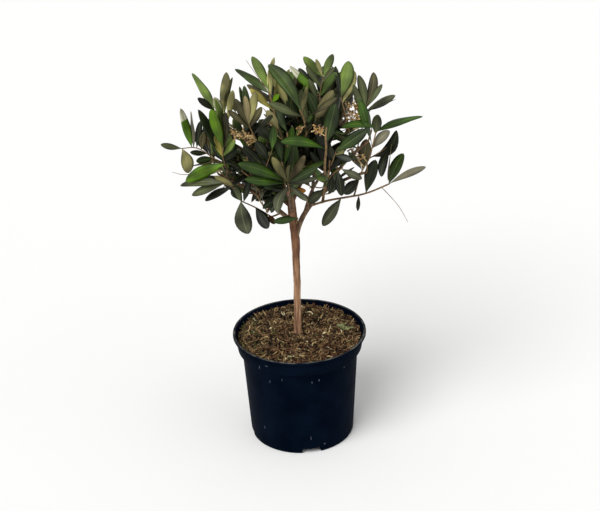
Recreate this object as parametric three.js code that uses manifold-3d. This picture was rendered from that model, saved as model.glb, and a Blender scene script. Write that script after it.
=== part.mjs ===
import * as THREE from 'three';
import { mergeVertices } from 'three/addons/utils/BufferGeometryUtils.js';
import Module from 'manifold-3d';

// A young olive tree in a round nursery pot, in millimetres, with +Z up.
// The origin is the middle of the pot's flat underside, and the front of the tree faces -Y.

const wasm = await Module();
wasm.setup();

const GAP = 0.3;
const UP = new THREE.Vector3(0, 0, 1);
const FULL_TURN = 2 * Math.PI;

// Pot: a tapered tub with a taller, wider collar under its lip
const POT_HEIGHT = 161;
const RIM_RADIUS = 95;
const LIP_HEIGHT = 3.6;
const LIP_ROUND = 1;
const COLLAR_TOP_RADIUS = 91.6;
const COLLAR_FOOT_RADIUS = 88.6;
const COLLAR_FOOT_HEIGHT = 137.5;
const BODY_TOP_RADIUS = 82.6;
const BODY_TOP_HEIGHT = 133.8;
const BODY_FOOT_RADIUS = 74.7;
const WALL = 2.2;
const POT_SIDES = 36;

// Foot: a ring cut by notches, round a raised floor with drain holes and a flat middle
const FOOT_CHAMFER = 3;
const FOOT_RING_WIDTH = 5;
const FLOOR_LIFT = 9;
const MIDDLE_FOOT_RADIUS = 16;
const MIDDLE_FOOT_SLOPE = 5;
const NOTCH_COUNT = 4;
const NOTCH_WIDTH = 29;
const NOTCH_SLANT = 2.5;
const NOTCH_TOP = 8;
const NOTCH_BELOW = 2;
const NOTCH_LENGTH = 20;
const FIRST_NOTCH_AZIMUTH = -81;
const DRAIN_COUNT = 6;
const DRAIN_SIDES = 10;
const DRAIN_RADIUS = 5.5;
const DRAIN_CIRCLE_RADIUS = 46;

// Soil: a filled pot with a bumpy cover of bark shavings
const SOIL_EDGE_HEIGHT = 153.2;
const SOIL_MIDDLE_HEIGHT = 156;
const SOIL_FLAT_RADIUS = 10;
const SOIL_FLAT_MARGIN = 1;
const SOIL_BUMP = 1.4;
const SOIL_BUMPS_A_RADIAN = 20;
const SOIL_GAP = 0.55;
const SOIL_SIDES = 28;
const SOIL_RINGS = 5;

// Trunk: where its middle lies and how thick it is, from the soil to the fork
const TRUNK_FOOT = SOIL_MIDDLE_HEIGHT + GAP;
const TRUNK_STATIONS = [
  { z: TRUNK_FOOT, x: -2.2, y: 0, radius: 6.9 },
  { z: 163, x: -2.1, y: 0, radius: 5.7 },
  { z: 190, x: -1.6, y: 0.6, radius: 4.9 },
  { z: 228, x: -1, y: 1.4, radius: 4.8 },
  { z: 300, x: -0.9, y: 1.6, radius: 5.6 },
  { z: 346, x: -4.1, y: 0.6, radius: 6 },
  { z: 375, x: -5.6, y: -0.4, radius: 4.8 },
  { z: 402, x: -6.4, y: -1.4, radius: 3.4 },
];
const TRUNK_RING_STEP = 16;
const TRUNK_SIDES = 9;
const TRUNK_FLUTES = 3;
const TRUNK_FLUTE = 0.05;
const TRUNK_TWIST = 25;

// Boughs, whose ends are shares of their limb's length
const BOUGH_SIDES = 5;
const BOUGH_RINGS = 4;
const BOUGH_TIP_RADIUS = 1.9;
const BOUGH_SHORTEST = 0.3;
const BOUGH_LONGEST = 0.95;
const BOUGH_SHARE_STEP = 0.02;
const WOOD_STEP = 2.5;

// Foliage masses
const CROWN_CENTRE = new THREE.Vector3(-3, 0, 440);
const CROWN_SEED = 1;
const MASS_MIDDLE = 0.62;
const LEAF_OVERHANG = 44;
const CELL_MARGIN = 0.5;
const REACH_MARGIN = 1.02;
const LIMB_CLEARANCE = 1.2;
const STEM_GAP = GAP + 0.02;
const STEM_MARGIN = 2.6;
const STEM_RINGS = 4;
const STEM_TIP_RADIUS = 1.4;

// Side shoots, which leave their stem in turn and bend upward
const SIDE_SHOOTS = 3;
const SHOOT_TRIES = 7;
const SHOOT_RINGS = 3;
const SHOOT_SIDES = 3;
const SHOOT_ROOT_RADIUS = 0.7;
const SHOOT_RADIUS = 1.5;
const SHOOT_TIP_RADIUS = 1.3;
const SHOOT_MARGIN = 2;
const SHOOT_CLEARANCE = 2.5;
const FIRST_SHOOT_AT = 0.08;
const SHOOTS_SPAN = 0.62;
const SHOOT_SHIFT = [0, 0.08];
const TURN_EACH_SHOOT = 137.5;
const TURN_EACH_TRY = 52;
const SHOOT_LEAN = [38, 58];
const SHOOT_LENGTH = 56;
const SHOOT_LENGTHS = [0.7, 1.1];
const SHOOT_SHORTENING = 0.35;
const SHOOT_BEND_AT = 0.5;
const SHOOT_OUT = 0.9;
const SHOOT_RISE = 0.22;

// Leaves, which stand in opposite pairs that turn a right angle from one pair to the next
const PAIR_STEP = 14;
const PAIR_TURN = 90;
const FEWEST_PAIRS = 2;
const FIRST_PAIR_AT = 0.45;
const TIP_SETBACK = 5;
const TIP_LEAF_SCALE = 0.88;
const TIP_LEAF_SPREAD = 0.5;
const LEAF_LENGTH = 63;
const LEAF_LENGTHS = [0.86, 1.14];
const LEAF_SLIMNESS = 0.28;
const LEAF_WIDTHS = [0.85, 1.2];
const LEAF_WIDEST_AT = 0.56;
const LEAF_SPREAD = [34, 62];
const LEAF_LIFT = [-0.12, 0.3];
const LEAF_TWIST = [-0.5, 0.5];
const LEAF_DROOP = [0, 0.14];
const LEAF_FACING_UP = 0.5;
const LEAF_CLEAR_FROM = 0.1;
const LEAF_CLEAR_STEP = 0.075;
const LEAF_THICKNESS = 0.018;
const LEAF_ABOVE = 0.3;
const STALK_HALF_WIDTH = 0.3;
const STALK_THICKNESS = 0.7;
const STALK_ABOVE = 0.4;
const BLADE_START = 0.22;
const NEAR_BLADES = 0.7;
const LEAF_TRIES = [
  { open: 1, shrink: 1 },
  { open: 0.6, shrink: 1 },
  { open: 1.3, shrink: 0.9 },
  { open: 1, shrink: 0.78 },
  { open: 0.55, shrink: 0.72 },
];

// Each mass lies toward an azimuth and an elevation from the middle of the crown, and reaches
// from there to its furthest leaf tip. Its limb grows from the trunk at a height, or from
// another limb at a share of that limb's length.
const MASSES = [
  { name: 'leader', toward: [165, 66], reach: 139, on: 'trunk', at: 394, bend: 0.3, girth: 3 },
  { name: 'low_right', toward: [-6, -12], reach: 178, on: 'trunk', at: 306, bend: 0.16, girth: 4 },
  { name: 'low_left', toward: [-135, -56], reach: 140, on: 'left', at: 0.3, bend: 0.9, girth: 2.2 },
  { name: 'left', toward: [-170, -9], reach: 160, on: 'trunk', at: 328, bend: 0.4, girth: 3.4 },
  { name: 'far_left', toward: [-178, 15], reach: 172, on: 'trunk', at: 354, bend: 0.5, girth: 3 },
  { name: 'front_left', toward: [-140, 30], reach: 148, on: 'trunk', at: 368, bend: 0.5, girth: 2.8 },
  { name: 'upper_left', toward: [163, 37], reach: 162, on: 'far_left', at: 0.25, bend: 0.5, girth: 2.4 },
  { name: 'top_back', toward: [78, 58], reach: 124, on: 'leader', at: 0.22, bend: 0.6, girth: 2.2 },
  { name: 'top_right', toward: [14, 60], reach: 142, on: 'trunk', at: 386, bend: 0.6, girth: 2.8 },
  { name: 'upper_right', toward: [14, 30], reach: 157, on: 'trunk', at: 374, bend: 0.5, girth: 3 },
  { name: 'right', toward: [-14, 14], reach: 170, on: 'low_right', at: 0.46, bend: 0.4, girth: 2.6 },
  { name: 'front', toward: [-92, 30], reach: 134, on: 'trunk', at: 378, bend: 0.5, girth: 2.6 },
  { name: 'front_low', toward: [-97, -14], reach: 126, on: 'trunk', at: 344, bend: 0.4, girth: 3 },
  { name: 'front_right', toward: [-50, 0], reach: 134, on: 'low_right', at: 0.24, bend: 0.3, girth: 2.4 },
  { name: 'front_top', toward: [-66, 64], reach: 122, on: 'trunk', at: 390, bend: 0.55, girth: 2.4 },
  { name: 'lower_left', toward: [-133, -6], reach: 134, on: 'left', at: 0.42, bend: 0.3, girth: 2.2 },
  { name: 'inner_right', toward: [-40, 35], reach: 138, on: 'low_right', at: 0.34, bend: 0.2, girth: 2.2 },
  { name: 'low_middle', toward: [-62, -48], reach: 126, on: 'low_right', at: 0.14, bend: 0.8, girth: 2 },
  { name: 'back_left', toward: [126, 16], reach: 154, on: 'trunk', at: 362, bend: 0.5, girth: 3 },
  { name: 'back', toward: [86, 20], reach: 150, on: 'trunk', at: 342, bend: 0.4, girth: 3.2 },
  { name: 'back_right', toward: [46, 15], reach: 158, on: 'trunk', at: 360, bend: 0.45, girth: 3 },
  { name: 'low_back_left', toward: [142, -27], reach: 130, on: 'back_left', at: 0.3, bend: 0.6, girth: 2.2 },
  { name: 'low_back', toward: [62, -27], reach: 132, on: 'back', at: 0.3, bend: 0.6, girth: 2.4 },
];

// Finishes
const POT_COLOUR = 0x0b1018;
const SOIL_COLOUR = 0x6b5230;
const BARK_COLOUR = 0x8a5f45;
const BOUGH_COLOUR = 0x7d6248;
const LEAF_COLOUR = 0x4f6233;
const PLASTIC_ROUGHNESS = 0.45;
const PLANT_ROUGHNESS = 0.75;

// A number from 0 to 1 that depends only on the whole numbers given.
function chance(...keys) {
  let state = 2166136261;
  for (const key of keys) {
    state = Math.imul(state ^ (key + 1), 16777619) >>> 0;
    state = (state ^ (state >>> 15)) >>> 0;
    state = Math.imul(state, 2246822519) >>> 0;
    state = (state ^ (state >>> 13)) >>> 0;
  }
  return state / 4294967296;
}

function between(low, high, ...keys) {
  return low + (high - low) * chance(...keys);
}

// A closed mesh as a solid that can be joined and cut, with its faces turned outward.
function solidFrom(geometry) {
  const bare = geometry.clone();
  bare.deleteAttribute('normal');
  bare.deleteAttribute('uv');
  const merged = mergeVertices(bare, 1e-4);
  const places = merged.getAttribute('position').array;
  const corners = [];
  const index = merged.index.array;
  for (let i = 0; i < index.length; i += 3) {
    const [a, b, c] = [index[i], index[i + 1], index[i + 2]];
    if (a !== b && b !== c && c !== a) corners.push(a, b, c);
  }
  if (signedVolume(places, corners) < 0) corners.reverse();
  return new wasm.Manifold(new wasm.Mesh({
    numProp: 3,
    vertProperties: new Float32Array(places),
    triVerts: new Uint32Array(corners),
  }));
}

function signedVolume(places, corners) {
  const [a, b, c] = [new THREE.Vector3(), new THREE.Vector3(), new THREE.Vector3()];
  let six = 0;
  for (let i = 0; i < corners.length; i += 3) {
    a.fromArray(places, corners[i] * 3);
    b.fromArray(places, corners[i + 1] * 3);
    c.fromArray(places, corners[i + 2] * 3);
    six += a.dot(b.cross(c));
  }
  return six / 6;
}

function geometryFrom(solid) {
  const mesh = solid.getMesh();
  const geometry = new THREE.BufferGeometry();
  geometry.setAttribute('position', new THREE.BufferAttribute(mesh.vertProperties, 3));
  geometry.setIndex(new THREE.BufferAttribute(mesh.triVerts, 1));
  return geometry;
}

function namedMesh(name, solid, colour, roughness) {
  const material = new THREE.MeshStandardMaterial({ color: colour, roughness, metalness: 0 });
  const mesh = new THREE.Mesh(geometryFrom(solid), material);
  mesh.name = name;
  return mesh;
}

// A closed skin over rings of points. A ring of one point is a tip.
function loft(rings) {
  const places = [];
  const starts = [];
  for (const ring of rings) {
    starts.push(places.length / 3);
    for (const point of ring) places.push(point.x, point.y, point.z);
  }
  const faces = [];
  for (let r = 0; r + 1 < rings.length; r += 1) {
    addBand(faces, rings[r].length, starts[r], rings[r + 1].length, starts[r + 1]);
  }
  addCap(faces, rings[0].length, starts[0], false);
  addCap(faces, rings.at(-1).length, starts.at(-1), true);
  const geometry = new THREE.BufferGeometry();
  geometry.setAttribute('position', new THREE.Float32BufferAttribute(places, 3));
  geometry.setIndex(faces);
  return geometry;
}

function addBand(faces, lowCount, low, highCount, high) {
  const count = Math.max(lowCount, highCount);
  for (let i = 0; i < count; i += 1) {
    const next = (i + 1) % count;
    if (highCount === 1) faces.push(low + i, low + next, high);
    else faces.push(low + i, low + next, high + next, low + i, high + next, high + i);
  }
}

function addCap(faces, count, start, atEnd) {
  for (let i = 1; i + 1 < count; i += 1) {
    if (atEnd) faces.push(start, start + i, start + i + 1);
    else faces.push(start, start + i + 1, start + i);
  }
}

// Two directions across a line.
function acrossOf(direction) {
  const first = new THREE.Vector3().crossVectors(direction, UP);
  if (first.lengthSq() < 1e-3) first.set(1, 0, 0);
  first.normalize();
  const second = new THREE.Vector3().crossVectors(direction, first).normalize();
  return [first, second];
}

// A tapering round or many-sided rod along a row of points.
function taperedRod(points, radii, sides) {
  const rings = [];
  let [first, second] = acrossOf(points[1].clone().sub(points[0]).normalize());
  for (let i = 0; i < points.length; i += 1) {
    const before = points[Math.max(i - 1, 0)];
    const after = points[Math.min(i + 1, points.length - 1)];
    const along = after.clone().sub(before).normalize();
    first = first.clone().addScaledVector(along, -first.dot(along)).normalize();
    second = new THREE.Vector3().crossVectors(along, first).normalize();
    const ring = [];
    for (let k = 0; k < sides; k += 1) {
      const turn = (FULL_TURN * k) / sides;
      ring.push(points[i].clone()
        .addScaledVector(first, radii[i] * Math.cos(turn))
        .addScaledVector(second, radii[i] * Math.sin(turn)));
    }
    rings.push(ring);
  }
  return loft(rings);
}

function latheSolid(profile, sides) {
  const geometry = new THREE.LatheGeometry(profile.map(([r, z]) => new THREE.Vector2(r, z)), sides);
  geometry.rotateX(Math.PI / 2);
  return solidFrom(geometry);
}

// The inside of the pot from the rim down to the middle of the floor, shrunk by a gap.
function insideProfile(gap) {
  const floor = FLOOR_LIFT + WALL;
  const bodySlope = (BODY_TOP_RADIUS - BODY_FOOT_RADIUS) / (BODY_TOP_HEIGHT - FOOT_CHAMFER);
  const footRadius = BODY_FOOT_RADIUS + bodySlope * (floor - FOOT_CHAMFER) - WALL;
  return [
    [COLLAR_TOP_RADIUS - WALL - gap, POT_HEIGHT - LIP_HEIGHT],
    [COLLAR_FOOT_RADIUS - WALL - gap, COLLAR_FOOT_HEIGHT],
    [BODY_TOP_RADIUS - WALL - gap, BODY_TOP_HEIGHT],
    [footRadius - gap, floor + gap],
    [MIDDLE_FOOT_RADIUS + MIDDLE_FOOT_SLOPE - WALL - gap, floor + gap],
    [MIDDLE_FOOT_RADIUS - WALL - gap, WALL + gap],
    [0, WALL + gap],
  ];
}

function notchSolid(azimuth) {
  const foot = NOTCH_WIDTH / 2;
  const top = foot - NOTCH_SLANT;
  const outline = new THREE.Shape([
    new THREE.Vector2(-foot, -NOTCH_BELOW),
    new THREE.Vector2(foot, -NOTCH_BELOW),
    new THREE.Vector2(foot, 0),
    new THREE.Vector2(top, NOTCH_TOP),
    new THREE.Vector2(-top, NOTCH_TOP),
    new THREE.Vector2(-foot, 0),
  ]);
  const geometry = new THREE.ExtrudeGeometry(outline, { depth: NOTCH_LENGTH, bevelEnabled: false });
  geometry.rotateX(Math.PI / 2);
  geometry.rotateZ(Math.PI / 2);
  geometry.translate(BODY_FOOT_RADIUS - FOOT_RING_WIDTH - FOOT_CHAMFER * 2, 0, 0);
  geometry.rotateZ(THREE.MathUtils.degToRad(azimuth));
  return solidFrom(geometry);
}

function drainSolid(azimuth) {
  const geometry = new THREE.CylinderGeometry(DRAIN_RADIUS, DRAIN_RADIUS, WALL * 3, DRAIN_SIDES);
  geometry.rotateX(Math.PI / 2);
  geometry.translate(DRAIN_CIRCLE_RADIUS, 0, FLOOR_LIFT + WALL / 2);
  geometry.rotateZ(THREE.MathUtils.degToRad(azimuth));
  return solidFrom(geometry);
}

function makePot() {
  const ringOutside = BODY_FOOT_RADIUS - FOOT_CHAMFER;
  const outside = [
    [0, 0],
    [MIDDLE_FOOT_RADIUS, 0],
    [MIDDLE_FOOT_RADIUS + MIDDLE_FOOT_SLOPE, FLOOR_LIFT],
    [ringOutside - FOOT_RING_WIDTH - WALL, FLOOR_LIFT],
    [ringOutside - FOOT_RING_WIDTH, 0],
    [ringOutside, 0],
    [BODY_FOOT_RADIUS, FOOT_CHAMFER],
    [BODY_TOP_RADIUS, BODY_TOP_HEIGHT],
    [COLLAR_FOOT_RADIUS, COLLAR_FOOT_HEIGHT],
    [COLLAR_TOP_RADIUS, POT_HEIGHT - LIP_HEIGHT - LIP_ROUND],
    [RIM_RADIUS, POT_HEIGHT - LIP_HEIGHT],
    [RIM_RADIUS, POT_HEIGHT - LIP_ROUND],
    [RIM_RADIUS - LIP_ROUND, POT_HEIGHT],
    [COLLAR_TOP_RADIUS, POT_HEIGHT],
  ];
  let pot = latheSolid([...outside, ...insideProfile(0)], POT_SIDES);
  for (let i = 0; i < NOTCH_COUNT; i += 1) {
    pot = pot.subtract(notchSolid(FIRST_NOTCH_AZIMUTH + (360 * i) / NOTCH_COUNT));
  }
  for (let i = 0; i < DRAIN_COUNT; i += 1) {
    pot = pot.subtract(drainSolid((360 * (i + 0.5)) / DRAIN_COUNT));
  }
  return namedMesh('pot', pot, POT_COLOUR, PLASTIC_ROUGHNESS);
}

function soilHeight(radius, azimuth) {
  const share = Math.min(radius / COLLAR_TOP_RADIUS, 1);
  const dome = SOIL_EDGE_HEIGHT + (SOIL_MIDDLE_HEIGHT - SOIL_EDGE_HEIGHT) * (1 - share * share);
  if (radius < SOIL_FLAT_RADIUS + SOIL_FLAT_MARGIN) return SOIL_MIDDLE_HEIGHT;
  const around = Math.round(azimuth * SOIL_BUMPS_A_RADIAN) % Math.round(FULL_TURN * SOIL_BUMPS_A_RADIAN);
  return dome + between(-SOIL_BUMP, SOIL_BUMP, Math.round(radius), around);
}

function makeSoil() {
  const inside = insideProfile(SOIL_GAP).reverse();
  const edge = COLLAR_TOP_RADIUS - WALL - SOIL_GAP * 2;
  inside[inside.length - 1] = [edge, SOIL_EDGE_HEIGHT];
  const profile = [...inside];
  for (let i = SOIL_RINGS - 1; i >= 0; i -= 1) {
    const radius = SOIL_FLAT_RADIUS + ((edge - SOIL_FLAT_RADIUS) * i) / SOIL_RINGS;
    profile.push([radius, SOIL_MIDDLE_HEIGHT]);
  }
  profile.push([0, SOIL_MIDDLE_HEIGHT]);
  const geometry = new THREE.LatheGeometry(profile.map(([r, z]) => new THREE.Vector2(r, z)), SOIL_SIDES);
  geometry.rotateX(Math.PI / 2);
  const place = geometry.getAttribute('position');
  for (let i = 0; i < place.count; i += 1) {
    const [x, y, z] = [place.getX(i), place.getY(i), place.getZ(i)];
    const onTop = z === Math.fround(SOIL_MIDDLE_HEIGHT);
    const azimuth = (Math.atan2(y, x) + FULL_TURN) % FULL_TURN;
    if (onTop) place.setZ(i, soilHeight(Math.hypot(x, y), azimuth));
  }
  return namedMesh('soil', solidFrom(geometry), SOIL_COLOUR, PLANT_ROUGHNESS);
}

function trunkAt(height) {
  const last = TRUNK_STATIONS.length - 1;
  let i = 0;
  while (i < last - 1 && TRUNK_STATIONS[i + 1].z < height) i += 1;
  const [low, high] = [TRUNK_STATIONS[i], TRUNK_STATIONS[i + 1]];
  const share = (height - low.z) / (high.z - low.z);
  const mix = (key) => low[key] + (high[key] - low[key]) * share;
  return { point: new THREE.Vector3(mix('x'), mix('y'), height), radius: mix('radius') };
}

function trunkRings(extra) {
  const top = TRUNK_STATIONS.at(-1).z;
  const steps = Math.round((top - TRUNK_FOOT) / TRUNK_RING_STEP);
  const rings = [];
  for (let i = 0; i <= steps; i += 1) {
    const { point, radius } = trunkAt(TRUNK_FOOT + ((top - TRUNK_FOOT) * i) / steps);
    if (i === steps) point.z += extra;
    const ring = [];
    for (let k = 0; k < TRUNK_SIDES; k += 1) {
      const turn = (FULL_TURN * k) / TRUNK_SIDES;
      const flute = 1 + TRUNK_FLUTE * Math.sin(TRUNK_FLUTES * turn + point.z / TRUNK_TWIST);
      const reach = radius * flute + extra;
      const [x, y] = [point.x + reach * Math.cos(turn), point.y + reach * Math.sin(turn)];
      ring.push(new THREE.Vector3(x, y, point.z));
    }
    rings.push(ring);
  }
  return rings;
}

// The place at a distance from the middle of the crown toward a mass's furthest tip.
function towardTip(mass, distance) {
  const [azimuth, elevation] = mass.toward.map((angle) => THREE.MathUtils.degToRad(angle));
  const outward = new THREE.Vector3(Math.cos(azimuth), Math.sin(azimuth), Math.tan(elevation)).normalize();
  return CROWN_CENTRE.clone().addScaledVector(outward, distance);
}

// The middle of a limb, from the trunk or its parent limb to the tip of its leafy stem. The
// smaller its bend, the more it climbs before it runs out.
function limbCurve(mass) {
  const parent = MASSES.find((other) => other.name === mass.on);
  const base = parent ? limbCurve(parent).getPoint(mass.at) : trunkAt(mass.at).point;
  const tip = towardTip(mass, mass.reach - LEAF_OVERHANG);
  const bend = new THREE.Vector3(
    base.x + (tip.x - base.x) * mass.bend,
    base.y + (tip.y - base.y) * mass.bend,
    base.z + (tip.z - base.z) * (1 - mass.bend),
  );
  return new THREE.QuadraticBezierCurve3(base, bend, tip);
}

// The planes half way to every other mass, which bound the mass's own space.
function cellPlanes(mass) {
  const middle = towardTip(mass, mass.reach * MASS_MIDDLE);
  return MASSES.filter((other) => other !== mass).map((other) => {
    const away = towardTip(other, other.reach * MASS_MIDDLE);
    const half = middle.clone().add(away).multiplyScalar(0.5);
    const normal = away.sub(middle).normalize();
    return { normal, limit: normal.dot(half) };
  });
}

function insideCell(point, planes, margin) {
  return planes.every(({ normal, limit }) => normal.dot(point) < limit - margin);
}

// The share of the limb at which it has entered its mass's space for good.
function boughShare(curve, planes) {
  let share = BOUGH_LONGEST;
  while (share > BOUGH_SHORTEST) {
    if (!insideCell(curve.getPoint(share - BOUGH_SHARE_STEP), planes, STEM_MARGIN)) break;
    share -= BOUGH_SHARE_STEP;
  }
  return share;
}

function rowAlong(curve, from, to, count, startRadius, endRadius) {
  const points = [];
  const radii = [];
  for (let i = 0; i < count; i += 1) {
    const share = i / (count - 1);
    points.push(curve.getPoint(from + (to - from) * share));
    radii.push(startRadius + (endRadius - startRadius) * share);
  }
  return { points, radii };
}

function growLimbs() {
  return MASSES.map((mass, order) => {
    const curve = limbCurve(mass);
    const planes = cellPlanes(mass);
    const share = boughShare(curve, planes);
    const bough = rowAlong(curve, 0, share, BOUGH_RINGS, mass.girth, BOUGH_TIP_RADIUS);
    const start = share + STEM_GAP / curve.getLength();
    const stem = rowAlong(curve, start, 1, STEM_RINGS, BOUGH_TIP_RADIUS, STEM_TIP_RADIUS);
    return { mass, seed: CROWN_SEED + order, planes, bough, stem };
  });
}

// Points with radii all along the wood, which leaves and twigs keep clear of.
function woodPoints(limbs) {
  const wood = [];
  for (let z = TRUNK_FOOT; z <= TRUNK_STATIONS.at(-1).z; z += WOOD_STEP) wood.push(trunkAt(z));
  for (const { bough } of limbs) {
    for (let i = 0; i + 1 < bough.points.length; i += 1) {
      const steps = Math.ceil(bough.points[i].distanceTo(bough.points[i + 1]) / WOOD_STEP);
      for (let k = 0; k <= steps; k += 1) {
        const point = bough.points[i].clone().lerp(bough.points[i + 1], k / steps);
        const radius = bough.radii[i] + ((bough.radii[i + 1] - bough.radii[i]) * k) / steps;
        wood.push({ point, radius });
      }
    }
  }
  return wood;
}

function clearOfWood(point, wood, clearance) {
  return wood.every((spot) => {
    const near = spot.radius + clearance;
    return point.distanceToSquared(spot.point) > near * near;
  });
}

function rowLength(row) {
  let length = 0;
  for (let i = 1; i < row.points.length; i += 1) length += row.points[i].distanceTo(row.points[i - 1]);
  return length;
}

// The place and heading at a distance along a row of points.
function alongRow(row, distance) {
  let left = distance;
  for (let i = 1; i < row.points.length; i += 1) {
    const step = row.points[i].clone().sub(row.points[i - 1]);
    const length = step.length();
    if (left <= length || i === row.points.length - 1) {
      const heading = step.normalize();
      const point = row.points[i - 1].clone().addScaledVector(heading, Math.min(left, length));
      return { point, heading };
    }
    left -= length;
  }
  return null;
}

// A side shoot that leaves the stem at an angle and bends upward.
function sideShoot({ stem, seed }, number, attempt) {
  const shift = between(...SHOOT_SHIFT, seed, number, 1);
  const share = FIRST_SHOOT_AT + SHOOTS_SPAN * (number / SIDE_SHOOTS) + shift;
  const { point, heading } = alongRow(stem, share * rowLength(stem));
  const [first, second] = acrossOf(heading);
  const turn = THREE.MathUtils.degToRad(TURN_EACH_SHOOT * (number + seed) + TURN_EACH_TRY * attempt);
  const side = first.multiplyScalar(Math.cos(turn)).addScaledVector(second, Math.sin(turn));
  const lean = THREE.MathUtils.degToRad(between(...SHOOT_LEAN, seed, number, 2));
  const out = heading.clone().multiplyScalar(Math.cos(lean)).addScaledVector(side, Math.sin(lean));
  const full = SHOOT_LENGTH * between(...SHOOT_LENGTHS, seed, number, 3);
  const length = full * (1 - SHOOT_SHORTENING * share);
  const bend = point.clone().addScaledVector(out, length * SHOOT_BEND_AT);
  const tip = point.clone().addScaledVector(out, length * SHOOT_OUT).addScaledVector(UP, length * SHOOT_RISE);
  const curve = new THREE.QuadraticBezierCurve3(point, bend, tip);
  const shoot = rowAlong(curve, 0, 1, SHOOT_RINGS, SHOOT_RADIUS, SHOOT_TIP_RADIUS);
  shoot.radii[0] = SHOOT_ROOT_RADIUS;
  return shoot;
}

function growShoots(limb, wood) {
  const shoots = [limb.stem];
  for (let number = 0; number < SIDE_SHOOTS; number += 1) {
    for (let attempt = 0; attempt < SHOOT_TRIES; attempt += 1) {
      const shoot = sideShoot(limb, number, attempt);
      const fits = shoot.points.every((point, i) => insideCell(point, limb.planes, SHOOT_MARGIN)
        && (i === 0 || clearOfWood(point, wood, SHOOT_CLEARANCE)));
      if (fits) {
        shoots.push(shoot);
        break;
      }
    }
  }
  return shoots;
}

// The directions along a leaf, out of its upper face and across its blade.
function leafAim(heading, side, keys, open) {
  const spread = THREE.MathUtils.degToRad(between(...LEAF_SPREAD, ...keys, 4) * open);
  const along = heading.clone().multiplyScalar(Math.cos(spread))
    .addScaledVector(side, Math.sin(spread))
    .addScaledVector(UP, between(...LEAF_LIFT, ...keys, 5))
    .normalize();
  const across = new THREE.Vector3().crossVectors(along, heading).normalize();
  const normal = heading.clone()
    .addScaledVector(UP, LEAF_FACING_UP)
    .addScaledVector(across, between(...LEAF_TWIST, ...keys, 6));
  normal.addScaledVector(along, -normal.dot(along)).normalize();
  const wide = new THREE.Vector3().crossVectors(along, normal).normalize();
  return { along, normal, wide };
}

function shapeLeaf(root, aim, keys, scale) {
  const length = LEAF_LENGTH * scale;
  const width = length * LEAF_SLIMNESS * between(...LEAF_WIDTHS, ...keys, 7);
  const droop = between(...LEAF_DROOP, ...keys, 8);
  return { ...aim, root, length, width, droop };
}

// The middle of a leaf at a share of its length. It droops toward its tip.
function leafMiddle({ root, along, normal, length, droop }, share) {
  return root.clone()
    .addScaledVector(along, length * share)
    .addScaledVector(normal, -length * droop * share * share);
}

// A spot on a leaf, at a share of its length and a share of its half width there.
function leafSpot(leaf, share, side) {
  const taper = share < LEAF_WIDEST_AT ? share / LEAF_WIDEST_AT : (1 - share) / (1 - LEAF_WIDEST_AT);
  return leafMiddle(leaf, share).addScaledVector(leaf.wide, side * taper * (leaf.width / 2));
}

function leafInSpace(leaf, { mass, planes }) {
  const spots = [LEAF_WIDEST_AT, 1].flatMap((share) => [-1, 0, 1].map((side) => leafSpot(leaf, share, side)));
  return spots.every((spot) => insideCell(spot, planes, CELL_MARGIN)
    && spot.distanceTo(CROWN_CENTRE) <= mass.reach * REACH_MARGIN);
}

function leafClearOfWood(leaf, wood) {
  for (let share = LEAF_CLEAR_FROM; share <= 1; share += LEAF_CLEAR_STEP) {
    for (const side of [-1, -0.5, 0, 0.5, 1]) {
      if (!clearOfWood(leafSpot(leaf, share, side), wood, LIMB_CLEARANCE)) return false;
    }
  }
  return true;
}

// The blade as flat triangles and outline edges, from a little way above its root.
function bladeOf(leaf) {
  const foot = leafMiddle(leaf, 0).lerp(leafMiddle(leaf, LEAF_WIDEST_AT), BLADE_START);
  const footLeft = foot.clone().addScaledVector(leaf.wide, STALK_HALF_WIDTH);
  const footRight = foot.clone().addScaledVector(leaf.wide, -STALK_HALF_WIDTH);
  const left = leafSpot(leaf, LEAF_WIDEST_AT, 1);
  const right = leafSpot(leaf, LEAF_WIDEST_AT, -1);
  const tip = leafMiddle(leaf, 1);
  return {
    triangles: [[footLeft, footRight, left], [footRight, right, left], [right, tip, left]],
    edges: [[footLeft, left], [footRight, right], [left, tip], [right, tip]],
    middle: leafMiddle(leaf, LEAF_WIDEST_AT),
    reach: leaf.root.distanceTo(tip),
  };
}

function edgeMeets([start, end], [a, b, c]) {
  const along = end.clone().sub(start);
  const firstSide = b.clone().sub(a);
  const secondSide = c.clone().sub(a);
  const cross = new THREE.Vector3().crossVectors(along, secondSide);
  const size = firstSide.dot(cross);
  if (size === 0) return false;
  const from = start.clone().sub(a);
  const turned = new THREE.Vector3().crossVectors(from, firstSide);
  const u = from.dot(cross) / size;
  const v = along.dot(turned) / size;
  const share = secondSide.dot(turned) / size;
  return u >= 0 && v >= 0 && u + v <= 1 && share >= 0 && share <= 1;
}

function bladesCross(one, other) {
  const near = NEAR_BLADES * (one.reach + other.reach);
  if (one.middle.distanceTo(other.middle) > near) return false;
  return one.edges.some((edge) => other.triangles.some((triangle) => edgeMeets(edge, triangle)))
    || other.edges.some((edge) => one.triangles.some((triangle) => edgeMeets(edge, triangle)));
}

// Whether a blade touches a twig, apart from the one spot where it is rooted.
function bladeMeetsShoot(blade, shoot) {
  for (let i = 0; i + 1 < shoot.points.length; i += 1) {
    const edge = [shoot.points[i], shoot.points[i + 1]];
    if (blade.triangles.some((triangle) => edgeMeets(edge, triangle))) return true;
  }
  return false;
}

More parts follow.
